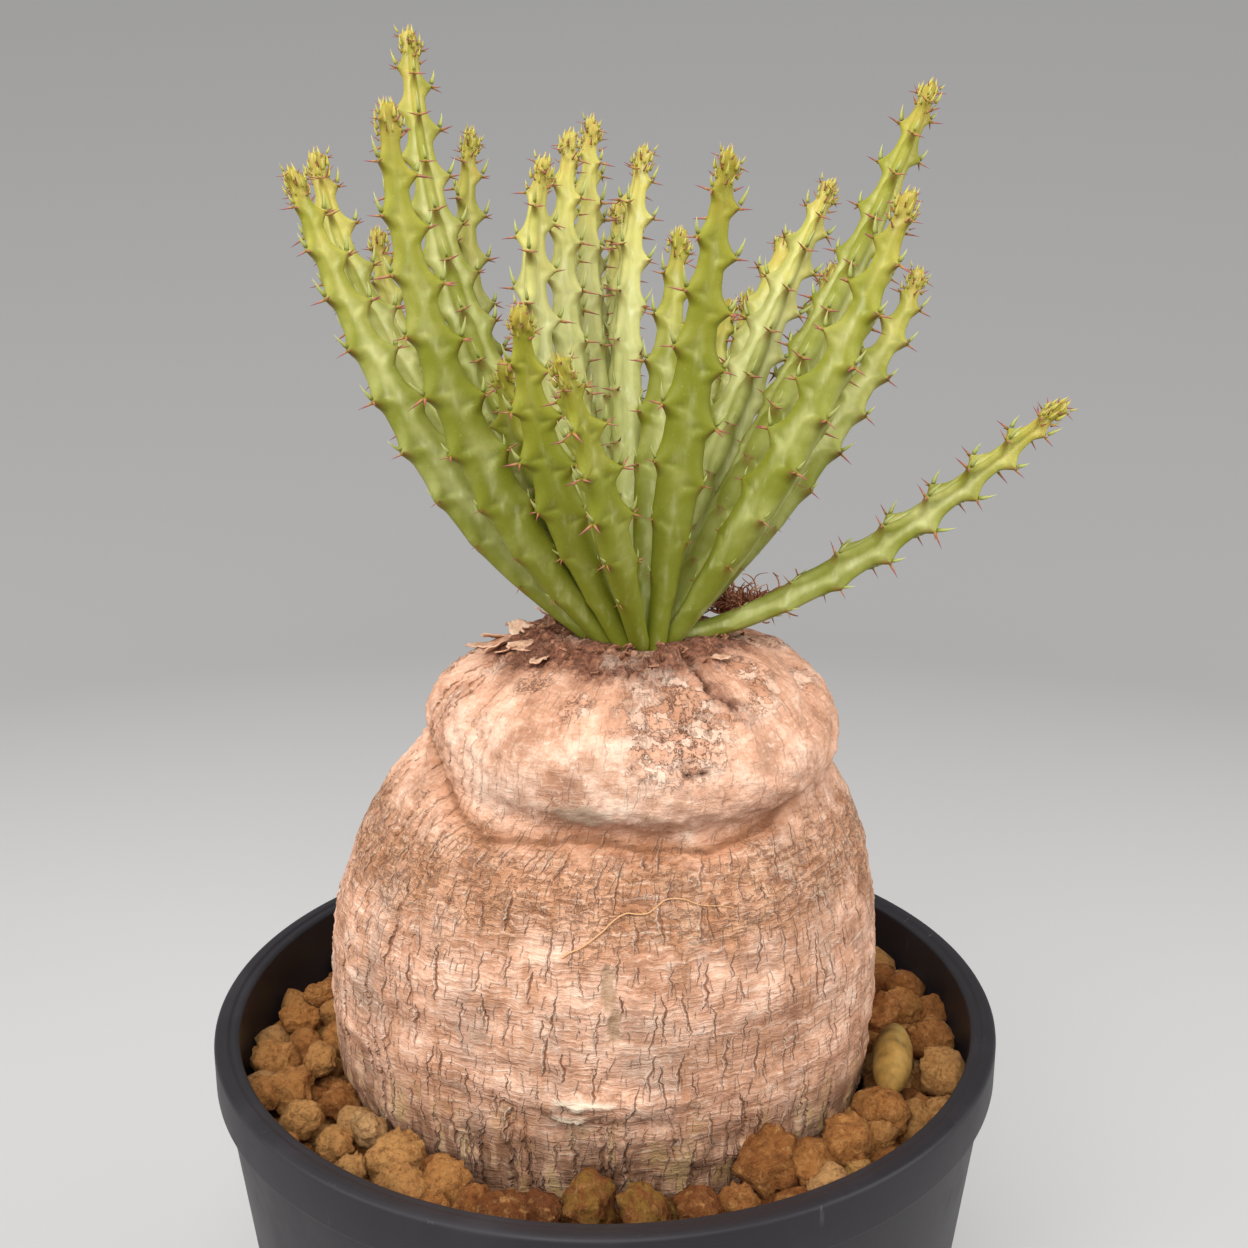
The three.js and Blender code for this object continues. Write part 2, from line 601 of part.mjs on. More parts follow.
// Spine pairs on every second tooth of each rib, and the small leaves that crown the tip
function makeSpikes(path, rings, levels) {
  const spikes = [];
  const plant = (root, direction, length, radius) => {
    if (!hasRoom(root, direction, length, path)) return;
    const sunk = root.clone().addScaledVector(direction, -SPINE_ROOT);
    spikes.push(makeSpike(sunk, direction, length + SPINE_ROOT, radius));
  };
  const corners = 2 * RIBS;
  for (let i = 1; i < levels.length; i += 2) {
    const ring = rings[BARE_LEVELS.length + i];
    const above = rings[BARE_LEVELS.length + i + 1] ?? ring;
    const below = rings[BARE_LEVELS.length + i - 1];
    for (let rib = 0; rib < RIBS; rib++) {
      if (((i - 1) / 2 + rib) % 2 !== 0) continue;
      const corner = 2 * rib;
      const tooth = ring[corner];
      const left = ring[(corner + corners - 1) % corners];
      const right = ring[(corner + 1) % corners];
      const heart = left.clone().add(right).multiplyScalar(0.5);
      const outward = tooth.clone().sub(heart).normalize();
      const sideways = right.clone().sub(left).normalize();
      const flanks = [[right, below[corner], 1], [left, above[corner], -1]];
      for (const [valley, crest, side] of flanks) {
        const root = tooth.clone().multiplyScalar(1 - 2 * SPINE_DROP);
        root.addScaledVector(valley, SPINE_DROP).addScaledVector(crest, SPINE_DROP);
        const aim = splay(outward, sideways.clone().multiplyScalar(side), SPINE_SPREAD);
        plant(root, aim, SPINE_LENGTH, SPINE_RADIUS);
      }
    }
  }
  const { centre, along, across } = stemFrame(path, path.length - TIP_LENGTH / 2);
  for (let leaf = 0; leaf < LEAFLETS; leaf++) {
    const outward = across.clone().applyAxisAngle(along, TURN * leaf / LEAFLETS);
    plant(centre, splay(along, outward, LEAFLET_SPREAD), LEAFLET_LENGTH, LEAFLET_RADIUS);
  }
  return spikes;
}

function makeStem(path, stemNumber, caudexCutter) {
  const levels = toothLevels(path);
  const rings = stemRings(path, stemNumber, levels);
  const sunk = stemFrame(path, -STEM_SINK).centre;
  let stem = toSolid(skin(sunk, rings, stemFrame(path, path.length).centre));
  for (const spike of makeSpikes(path, rings, levels)) stem = stem.add(toSolid(spike));
  return stem.subtract(caudexCutter);
}

const plastic = new THREE.MeshStandardMaterial({ color: 0x26252b, roughness: 0.45, metalness: 0 });
const gravel = new THREE.MeshStandardMaterial({ color: 0xa8672a, roughness: 0.95, metalness: 0 });
const mossyStone = new THREE.MeshStandardMaterial({ color: 0x9a8a3c, roughness: 0.8, metalness: 0 });
const cork = new THREE.MeshStandardMaterial({ color: 0xc89a78, roughness: 0.85, metalness: 0 });
const dryFibre = new THREE.MeshStandardMaterial({ color: 0x6b3522, roughness: 0.9, metalness: 0 });
const greenFlesh = new THREE.MeshStandardMaterial({ color: 0x9fae4a, roughness: 0.5, metalness: 0 });

function namedMesh(name, geometry, material) {
  const mesh = new THREE.Mesh(geometry, material);
  mesh.name = name;
  return mesh;
}

const caudexCutter = toSolid(makeCaudex(GAP));
const pebbleCutter = toSolid(makePebble(GAP));

const plant = new THREE.Group();
plant.add(namedMesh("pot", makePot(), plastic));
plant.add(namedMesh("gravel_bed", makeGravelBed(caudexCutter, pebbleCutter), gravel));
plant.add(namedMesh("mossy_pebble", toGeometry(toSolid(makePebble(0))), mossyStone));
plant.add(namedMesh("caudex", toGeometry(toSolid(makeCaudex(0))), cork));
plant.add(namedMesh("fibre_tuft", toGeometry(makeFibreTuft(caudexCutter)), dryFibre));
paths.forEach((path, i) => {
  const name = `stem_${String(i + 1).padStart(2, "0")}`;
  plant.add(namedMesh(name, toGeometry(makeStem(path, i, caudexCutter)), greenFlesh));
});

export default plant;
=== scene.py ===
"""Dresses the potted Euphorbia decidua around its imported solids.

A corky two-storey caudex stands in coarse volcanic gravel in a round black plastic pot, and a tuft
of ribbed, toothed, spined green stems grows from its crown. Every shape is worked out in
millimetres, with the origin under the middle of the pot, and brought to metres when its mesh is
finished.
"""

from __future__ import annotations

import logging
import math
from collections.abc import Callable, Iterable, Sequence
from dataclasses import dataclass, field

import bmesh
import bpy
import numpy as np
from bpy.types import Material, Mesh, Node, NodeSocket, NodeTree, Object
from mathutils import Matrix, Vector


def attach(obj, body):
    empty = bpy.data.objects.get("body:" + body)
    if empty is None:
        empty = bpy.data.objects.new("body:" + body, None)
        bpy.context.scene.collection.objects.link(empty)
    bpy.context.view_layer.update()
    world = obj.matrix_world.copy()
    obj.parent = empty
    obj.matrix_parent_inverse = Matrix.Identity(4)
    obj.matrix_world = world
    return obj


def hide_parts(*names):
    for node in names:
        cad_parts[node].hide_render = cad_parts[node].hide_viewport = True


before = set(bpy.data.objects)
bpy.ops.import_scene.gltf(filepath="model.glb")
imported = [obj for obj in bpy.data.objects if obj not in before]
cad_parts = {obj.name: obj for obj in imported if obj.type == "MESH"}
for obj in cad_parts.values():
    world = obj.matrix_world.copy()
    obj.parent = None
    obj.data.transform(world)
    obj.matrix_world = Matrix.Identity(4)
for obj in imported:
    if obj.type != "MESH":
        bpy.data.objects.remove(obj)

LOG = logging.getLogger("potted_euphorbia")

METRES_PER_MM = 0.001
TURN = 2 * math.pi


def colour(code: str) -> tuple[float, float, float, float]:
    """Turns a screen colour into the linear colour that shaders use.

    Args:
        code: Six hexadecimal digits.

    Returns:
        Red, green, blue and full opacity.
    """
    screen = [int(code[start:start + 2], 16) / 255 for start in (0, 2, 4)]
    linear = [value / 12.92 if value <= 0.04045 else ((value + 0.055) / 1.055) ** 2.4 for value in screen]
    return (*linear, 1.0)


def smoothstep(value: np.ndarray, low: float, high: float) -> np.ndarray:
    """Rises smoothly from 0 at the low value to 1 at the high one, or falls if low is above high."""
    share = np.clip((value - low) / (high - low), 0, 1)
    return share * share * (3 - 2 * share)


def operator_pair(operation: str) -> tuple[Callable, Callable]:
    """Makes a field's method for an operator, and the one for a field on its right side.

    Args:
        operation: The operation of the node that works it out.

    Returns:
        Both methods.
    """
    def forward(self: Field, other: Value) -> Field:
        """Works out the field with the other value."""
        return self.nodes.arithmetic(operation, self, other)

    def backward(self: Field, other: Value) -> Field:
        """Works out the other value with the field."""
        return self.nodes.arithmetic(operation, other, self)

    return forward, backward


class Field:
    """One value in a node tree. Sums and products of fields add the nodes that work them out."""

    def __init__(self, nodes: Nodes, socket: NodeSocket) -> None:
        """Keeps the tree and the output socket."""
        self.nodes = nodes
        self.socket = socket

    @property
    def is_vector(self) -> bool:
        """Whether the value is a vector or a colour."""
        return self.socket.type in {"VECTOR", "RGBA"}

    __add__, __radd__ = operator_pair("ADD")
    __sub__, __rsub__ = operator_pair("SUBTRACT")
    __mul__, __rmul__ = operator_pair("MULTIPLY")
    __truediv__, __rtruediv__ = operator_pair("DIVIDE")
    __pow__, __rpow__ = operator_pair("POWER")

    def __abs__(self) -> Field:
        """Size without sign."""
        return self.nodes.math("ABSOLUTE", self)

    def clamped(self) -> Field:
        """Kept between 0 and 1."""
        return self.nodes.math("MAXIMUM", self.nodes.math("MINIMUM", self, 1.0), 0.0)

    def part(self, axis: int) -> Field:
        """One component of a vector, by its axis."""
        return self.nodes.out("ShaderNodeSeparateXYZ", {0: self}, output=axis)

    def unit(self) -> Field:
        """The vector at length one."""
        return self.nodes.out("ShaderNodeVectorMath", {0: self}, operation="NORMALIZE")

    def cross(self, other: Value) -> Field:
        """Cross product."""
        return self.nodes.arithmetic("CROSS_PRODUCT", self, other)

    def above(self, limit: Value) -> Field:
        """1 where the value is over a limit, otherwise 0."""
        return self.nodes.math("GREATER_THAN", self, limit)

    def coated(self, *coats: tuple[Value, Field | str]) -> Field:
        """The colour under coats of others.

        Args:
            coats: The share of each coat, and its field or screen colour.

        Returns:
            The colour.
        """
        tint = self
        for share, coat in coats:
            tint = self.nodes.blend(share, tint, colour(coat) if isinstance(coat, str) else coat)
        return tint


Value = Field | float | int | tuple[float, float, float]


class Nodes:
    """Adds nodes to a shader or geometry tree and links them."""

    def __init__(self, tree: NodeTree) -> None:
        """Keeps the tree that the nodes go into."""
        self.tree = tree

    def plug(self, socket: NodeSocket, value: object) -> None:
        """Links a field to an input, or sets the input's own value.

        Args:
            socket: The input.
            value: A field, or a plain value.
        """
        if isinstance(value, Field):
            self.tree.links.new(value.socket, socket)
        elif socket.type == "VECTOR" and isinstance(value, (int, float)):
            socket.default_value = (value, value, value)
        else:
            socket.default_value = value

    def node(self, kind: str, inputs: dict[int | str, object] | None = None, **settings: object) -> Node:
        """Adds one node.

        Args:
            kind: The node's type.
            inputs: Values by the input's name or number.
            settings: The node's own options.

        Returns:
            The node.
        """
        made = self.tree.nodes.new(kind)
        for name, setting in settings.items():
            setattr(made, name, setting)
        for name, value in (inputs or {}).items():
            self.plug(made.inputs[name], value)
        return made

    def out(
        self,
        kind: str,
        inputs: dict[int | str, object] | None = None,
        output: int | str = 0,
        **settings: object,
    ) -> Field:
        """Adds one node, as node() does, and gives one of its outputs."""
        return Field(self, self.node(kind, inputs, **settings).outputs[output])

    def math(self, operation: str, *values: Value) -> Field:
        """Adds a scalar operation."""
        return self.out("ShaderNodeMath", dict(enumerate(values)), operation=operation)

    def arithmetic(self, operation: str, first: Value, second: Value) -> Field:
        """Adds an operation on two values, by components if either is a vector.

        Args:
            operation: What is done to them.
            first: The first value.
            second: The second value.

        Returns:
            The result.
        """
        pair = (first, second)
        has_vector = any(isinstance(value, tuple) or getattr(value, "is_vector", False) for value in pair)
        kind = "ShaderNodeVectorMath" if has_vector else "ShaderNodeMath"
        return self.out(kind, {0: first, 1: second}, operation=operation)

    def vector(self, x: Value, y: Value, z: Value) -> Field:
        """Joins three numbers in a vector."""
        return self.out("ShaderNodeCombineXYZ", {0: x, 1: y, 2: z})

    def rise(self, value: Value, low: float, high: float) -> Field:
        """Rises smoothly from 0 at the low value to 1 at the high one, or falls if low is above high."""
        return self.out("ShaderNodeMapRange", {0: value, 1: low, 2: high}, interpolation_type="SMOOTHSTEP")

    def noise(
        self,
        place: Value,
        detail: float = 2.0,
        roughness: float = 0.5,
        distortion: float = 0.0,
        output: int | str = 0,
    ) -> Field:
        """Cloudy noise from 0 to 1 with clouds about one unit wide: a number, or a vector from "Color"."""
        inputs = {"Vector": place, "Scale": 1.0, "Detail": detail, "Roughness": roughness,
                  "Distortion": distortion}
        return self.out("ShaderNodeTexNoise", inputs, output=output)

    def cells(self, place: Value, output: int | str = 0, feature: str = "F1") -> Field:
        """Cells about one unit wide: their Distance, Color or Position."""
        inputs = {"Vector": place, "Scale": 1.0}
        return self.out("ShaderNodeTexVoronoi", inputs, output=output, feature=feature)

    def blend(self, share: Value, first: object, second: object) -> Field:
        """Mixes two colours, with a share of the second one."""
        return self.out("ShaderNodeMix", {0: share, 6: first, 7: second}, output=2, data_type="RGBA")

    def ramp(self, share: Value, stops: dict[float, str]) -> Field:
        """Runs through several colours.

        Args:
            share: Where on the ramp, from 0 to 1.
            stops: Screen colours by their place.

        Returns:
            The colour.
        """
        made = self.node("ShaderNodeValToRGB", {0: share})
        elements = made.color_ramp.elements
        while len(elements) < len(stops):
            elements.new(0.5)
        for element, (place, code) in zip(elements, stops.items()):
            element.position = place
            element.color = colour(code)
        return Field(self, made.outputs[0])


class Growth(Nodes):
    """A Geometry Nodes tree with named inputs, whose result is turned into a plain mesh."""

    def __init__(self, name: str, inputs: dict[str, object]) -> None:
        """Adds the tree and its named inputs.

        Args:
            name: The tree's name.
            inputs: Each input's value by its name.
        """
        super().__init__(bpy.data.node_groups.new(name, "GeometryNodeTree"))
        face = self.tree.interface
        face.new_socket("Geometry", in_out="INPUT", socket_type="NodeSocketGeometry")
        face.new_socket("Geometry", in_out="OUTPUT", socket_type="NodeSocketGeometry")
        self.identifiers = {}
        for label, value in inputs.items():
            kind = "NodeSocketInt" if isinstance(value, int) else "NodeSocketFloat"
            socket = face.new_socket(label, in_out="INPUT", socket_type=kind)
            socket.default_value = value
            self.identifiers[label] = socket.identifier
        self.entry = self.tree.nodes.new("NodeGroupInput")

    def input(self, label: str) -> Field:
        """A named input of the tree."""
        return Field(self, self.entry.outputs[label])

    def named(self, name: str, kind: str = "FLOAT") -> Field:
        """An attribute of the geometry, by its name and data type."""
        return self.out("GeometryNodeInputNamedAttribute", {"Name": name}, data_type=kind)

    def store(self, geometry: Field, name: str, value: Value, kind: str = "FLOAT") -> Field:
        """Keeps a value on the geometry's points under a name."""
        inputs = {0: geometry, "Name": name, "Value": value}
        return self.out("GeometryNodeStoreNamedAttribute", inputs, data_type=kind, domain="POINT")

    def place(self, geometry: Field, position: Value) -> Field:
        """Moves each point to a position."""
        return self.out("GeometryNodeSetPosition", {0: geometry, "Position": position})

    def shift(self, geometry: Field, offset: Value) -> Field:
        """Moves each point by an offset."""
        return self.out("GeometryNodeSetPosition", {0: geometry, "Offset": offset})

    def random(self, low: float, high: float, seed: int) -> Field:
        """A random number for each element, by the number of the draw."""
        inputs = {2: low, 3: high, "Seed": seed}
        return self.out("FunctionNodeRandomValue", inputs, output=1, data_type="FLOAT")

    def aimed(self, direction: Value) -> Field:
        """The rotation that turns +Z to a direction."""
        return self.out("FunctionNodeAlignRotationToVector", {"Vector": direction}, axis="Z")

    def planted(self, points: Field, shape: Field, rotation: Value | None, scale: Value) -> Field:
        """Stands a copy of a shape on each point.

        Args:
            points: The points.
            shape: The shape that is copied.
            rotation: How each copy is turned.
            scale: How large each copy is.

        Returns:
            The copies.
        """
        inputs = {"Points": points, "Instance": shape, "Scale": scale}
        if rotation is not None:
            inputs["Rotation"] = rotation
        return self.out("GeometryNodeInstanceOnPoints", inputs)

    def dressed(self, geometry: Field, material: Material) -> Field:
        """Realizes copies and gives them a material."""
        real = self.out("GeometryNodeRealizeInstances", {0: geometry})
        return self.out("GeometryNodeSetMaterial", {0: real, "Material": material})

    def joined(self, *parts: Field) -> Field:
        """Joins parts in one geometry, in their order.

        Args:
            parts: The parts.

        Returns:
            The whole.
        """
        whole = self.node("GeometryNodeJoinGeometry")
        for part in reversed(parts):
            self.tree.links.new(part.socket, whole.inputs[0])
        return Field(self, whole.outputs[0])

    def end(self, *parts: Field) -> None:
        """Joins the parts as the tree's result.

        Args:
            parts: Geometry that already has its materials.
        """
        smooth = self.out("GeometryNodeSetShadeSmooth", {0: self.joined(*parts)})
        result = self.tree.nodes.new("NodeGroupOutput")
        self.tree.links.new(smooth.socket, result.inputs[0])

    def grow(self, name: str, carrier: Mesh, values: dict[str, object] | None = None) -> Object:
        """Runs the tree on a carrier mesh.

        Args:
            name: The new piece's name.
            carrier: What the tree grows from.
            values: Inputs that differ from the tree's own, by name.

        Returns:
            A plain mesh object in metres.
        """
        seed = bpy.data.objects.new(f"{name}_carrier", carrier)
        bpy.context.scene.collection.objects.link(seed)
        modifier = seed.modifiers.new("growth", "NODES")
        modifier.node_group = self.tree
        for label, value in (values or {}).items():
            modifier[self.identifiers[label]] = value
        graph = bpy.context.evaluated_depsgraph_get()
        graph.update()
        mesh = bpy.data.meshes.new_from_object(seed.evaluated_get(graph))
        seed.modifiers.remove(modifier)
        bpy.data.objects.remove(seed)
        return finished(name, mesh)


def finished(name: str, mesh: Mesh) -> Object:
    """Brings a mesh in millimetres to metres and shows it as a piece.

    Args:
        name: The piece's name.
        mesh: Its mesh.

    Returns:
        The object, at the origin, unturned and unscaled.
    """
    mesh.transform(Matrix.Scale(METRES_PER_MM, 4))
    mesh.name = name
    piece = bpy.data.objects.new(name, mesh)
    bpy.context.scene.collection.objects.link(piece)
    return piece


def point_mesh(
    name: str,
    points: np.ndarray,
    edges: Iterable[tuple[int, int]] = (),
    faces: Iterable[Sequence[int]] = (),
    **attributes: np.ndarray,
) -> Mesh:
    """Makes a mesh with attributes on its points.

    Args:
        name: The mesh's name.
        points: One row of X, Y, Z for each point.
        edges: Pairs of points.
        faces: Loops of points.
        attributes: One value or one vector for each point, by name.

    Returns:
        The mesh.
    """
    mesh = bpy.data.meshes.new(name)
    mesh.from_pydata(np.asarray(points, float).tolist(), list(edges), list(faces))
    for label, values in attributes.items():
        values = np.asarray(values)
        if values.ndim == 2:
            made = mesh.attributes.new(label, "FLOAT_VECTOR", "POINT")
            made.data.foreach_set("vector", values.astype(np.float32).ravel())
        elif values.dtype.kind == "i":
            made = mesh.attributes.new(label, "INT", "POINT")
            made.data.foreach_set("value", values.astype(np.int32))
        else:
            made = mesh.attributes.new(label, "FLOAT", "POINT")
            made.data.foreach_set("value", values.astype(np.float32))
    return mesh


def wound_skin(rings: int, sides: int) -> list[tuple[int, ...]]:
    """Faces of a closed skin over rings of points, from a first pole up to a last one.

    Args:
        rings: How many rings there are.
        sides: How many points each ring has.

    Returns:
        The faces, with the first pole as point 0 and the last pole at the end.
    """
    last = rings * sides + 1
    faces = [(0, 1 + (side + 1) % sides, 1 + side) for side in range(sides)]
    for ring in range(rings - 1):
        low = 1 + ring * sides
        for side in range(sides):
            after = (side + 1) % sides
            faces.append((low + side, low + after, low + sides + after, low + sides + side))
    top = 1 + (rings - 1) * sides
    faces += [(last, top + side, top + (side + 1) % sides) for side in range(sides)]
    return faces


class Skin(Nodes):
    """A material's tree."""

    def place(self) -> Field:
        """The place on the object, in millimetres."""
        return self.out("ShaderNodeTexCoord", output="Object") * (1 / METRES_PER_MM)

    def mark(self, name: str, output: str = "Fac") -> Field:
        """An attribute of the mesh: Fac for a number, Vector for a vector."""
        return self.out("ShaderNodeAttribute", output=output, attribute_name=name)


Surface = tuple[Field, Value, Field | None]


@dataclass(frozen=True)
class Finish:
    """A surface finish, which builds its own material."""

    name: str
    specular: float = 0.5
    translucence: float = 0.0
    translucent_depth: float = 1.0

    def paint(self, nodes: Skin) -> Surface:
        """Works out the colour, the roughness and the height in millimetres in a material's tree."""
        raise NotImplementedError

    def build(self) -> Material:
        """Makes the material.

        Returns:
            The material.
        """
        material = bpy.data.materials.new(self.name)
        material.use_nodes = True
        material.node_tree.nodes.clear()
        nodes = Skin(material.node_tree)
        tint, roughness, height = self.paint(nodes)
        inputs = {
            "Base Color": tint,
            "Roughness": roughness,
            "Specular IOR Level": self.specular,
            "Subsurface Weight": self.translucence,
            "Subsurface Scale": self.translucent_depth * METRES_PER_MM,
        }
        if height is not None:
            bump = {"Strength": 1.0, "Distance": METRES_PER_MM, "Height": height}
            inputs["Normal"] = nodes.out("ShaderNodeBump", bump)
        shader = nodes.out("ShaderNodeBsdfPrincipled", inputs)
        nodes.node("ShaderNodeOutputMaterial", {"Surface": shader})
        return material


@dataclass(frozen=True)
class MouldedPlastic(Finish):
    """Black plastic with a fine grain, dust and faint upright scuffs."""

    base: str = "201d21"
    dusty: str = "353136"

    def paint(self, nodes: Skin) -> Surface:
        """Works out the plastic's surface.

        Args:
            nodes: The material's tree.

        Returns:
            Colour, roughness and height in millimetres.
        """
        place = nodes.place()
        dust = nodes.rise(nodes.noise(place / 16.0, 4.0, 0.6), 0.45, 0.75)
        streak = nodes.noise(place * (0.9, 0.9, 0.035), 3.0, 0.6)
        scuff = nodes.rise(streak, 0.66, 0.74) * nodes.rise(nodes.noise(place / 11.0), 0.5, 0.62)
        tint = nodes.blend(dust * 0.55, colour(self.base), colour(self.dusty))
        tint = tint.coated((scuff * 0.4, "6a686d"))
        grain = nodes.noise(place * 3.0, 3.0)
        roughness = 0.46 + dust * 0.14 + scuff * 0.1 + grain * 0.06
        return tint, roughness, grain * 0.012 + scuff * 0.01


@dataclass(frozen=True)
class VolcanicStone(Finish):
    """Porous grains in ochre and brown, told apart by the tone that each one carries."""

    def paint(self, nodes: Skin) -> Surface:
        """Works out the grains' surface.

        Args:
            nodes: The material's tree.

        Returns:
            Colour, roughness and height in millimetres.
        """
        place = nodes.place()
        tone = nodes.mark("tone")
        moss = nodes.mark("moss")
        shades = {0.0: "703e22", 0.25: "9c5f30", 0.55: "cc8a4a", 0.8: "e0a664", 1.0: "eec28c"}
        blotch = nodes.noise(place / 1.4, 5.0, 0.7)
        growth = nodes.rise(nodes.noise(place / 2.2, 3.0), 0.42, 0.6) * moss
        pits = nodes.rise(nodes.noise(place * 1.7, 4.0, 0.65), 0.5, 0.36)
        rough = nodes.noise(place * 1.1, 6.0, 0.74)
        tint = nodes.ramp(tone, shades).coated(
            (nodes.rise(blotch, 0.5, 0.7) * 0.6, "e6ae6a"), (nodes.rise(blotch, 0.5, 0.3) * 0.55, "84481e"),
            # Pits are painted darker as well as sunk: painted shade in the pits.
            (growth * 0.5, "a08034"), (pits * 0.3, "5e3418"),
        )
        return tint, 0.93, rough * 1.6 - pits * 0.2


@dataclass(frozen=True)
class MossyStone(Finish):
    """A smooth long pebble under a thin yellow-green coat."""

    def paint(self, nodes: Skin) -> Surface:
        """Works out the pebble's surface.

        Args:
            nodes: The material's tree.

        Returns:
            Colour, roughness and height in millimetres.
        """
        place = nodes.place()
        cloud = nodes.noise(place / 3.0, 4.0, 0.6)
        tint = nodes.ramp(cloud, {0.25: "6a4c20", 0.45: "8e6c30", 0.6: "a27c3c", 0.8: "b08a50"})
        streak = nodes.noise(place * (0.8, 0.16, 0.5), 3.0)
        tint = tint.coated((nodes.rise(streak, 0.52, 0.7) * 0.4, "98854e"))
        fine = nodes.noise(place * 3.0, 3.0)
        return tint, 0.78, fine * 0.08 + cloud * 0.12


@dataclass(frozen=True)
class DryFibre(Finish):
    """Dry red-brown fibre, some of it bleached."""

    dark: str = "944e36"
    pale: str = "d8a27e"

    def paint(self, nodes: Skin) -> Surface:
        """Works out the fibres' surface.

        Args:
            nodes: The material's tree.

        Returns:
            Colour, roughness and height in millimetres.
        """
        place = nodes.place()
        tone = nodes.mark("tone")
        tint = nodes.blend(tone, colour(self.dark), colour(self.pale))
        fine = nodes.noise(place * 4.0, 2.0)
        tint = tint.coated((nodes.rise(fine, 0.5, 0.7) * 0.3, "7d4428"))
        return tint, 0.8, fine * 0.03


@dataclass(frozen=True)
class CrackLayer:
    """Upright cracks scattered over the bark, one in each cell, with a raised lip on one side that the
    bark's finish paints pale as a painted highlight.
    """

    spacing: float
    climb: float
    half_length: float
    half_width: float
    sway: float
    offset: float
    lean: float = 0.5
    around: float = 40.0

    def draw(self, nodes: Nodes, bark: Field) -> tuple[Field, Field]:
        """Works out the cracks.

        Args:
            nodes: The tree that works them out.
            bark: The place on the bark, in millimetres round and up.

        Returns:
            1 in the middle of a crack falling to 0 at its edge, and the same for its lip.
        """
        size = (self.spacing, self.spacing, self.climb)
        cell = nodes.node("ShaderNodeTexVoronoi", {"Vector": (bark + self.offset) / size, "Scale": 1.0})
        middle = Field(nodes, cell.outputs["Position"]) * size - self.offset
        chance = Field(nodes, cell.outputs["Color"])
        up = bark.part(2) - middle.part(2)
        across = (bark.part(0) * middle.part(1) - bark.part(1) * middle.part(0)) / self.around
        sway = (nodes.noise(bark * (0.25, 0.25, 0.5) + self.offset, 2.0, 0.6) - 0.5) * self.sway
        aside = across + sway + up * (chance.part(0) - 0.4) * self.lean
        share = up / (self.half_length * (0.3 + 0.7 * chance.part(1)))
        width = (1.0 - share * share).clamped() * self.half_width * (0.4 + 0.6 * chance.part(2)) + 0.01
        crack = nodes.rise(abs(aside) / width, 1.0, 0.25)
        lip = nodes.rise(abs(aside - width * 2.0) / width, 1.0, 0.2)
        shown = nodes.rise(width, 0.03, 0.06)
        return crack * shown, lip * shown


@dataclass(frozen=True)
class BarkPattern:
    """Cracks, strips and flakes of the bark, one formula for the mesh and for its finish."""

    wide: CrackLayer = CrackLayer(3.6, 9.0, 4.2, 0.26, 2.2, 57.0)
    fine: CrackLayer = CrackLayer(1.6, 3.8, 1.8, 0.12, 1.2, 21.0)
    furrow: CrackLayer = CrackLayer(3.4, 34.0, 16.0, 0.6, 3.0, 83.0, 0.12)
    scale_width: float = 0.34
    scale_climb: float = 0.7

    def strips(self, nodes: Nodes, bark: Field) -> Field:
        """Level strips that the bark has grown in, from 0 to 1."""
        return nodes.noise(bark * (0.05, 0.05, 0.22), 2.0)

    def scales(self, nodes: Nodes, place: Field) -> tuple[Field, Field, Field]:
        """Ragged scales at odd heights, where thin layers have broken away.

        Args:
            nodes: The tree that works them out.
            place: The place on the bark.

        Returns:
            Each scale's height and shade from 0 to 1, and 1 along the gaps between them.
        """
        sway = nodes.noise(place * 0.5, 5.0, 0.62, output="Color")
        spot = (place + sway * 7.0) * (self.scale_width, self.scale_width, self.scale_climb)
        chance = nodes.cells(spot, "Color")
        gap = nodes.rise(nodes.cells(spot, feature="DISTANCE_TO_EDGE"), 0.09, 0.01)
        return chance.part(0), chance.part(1), gap


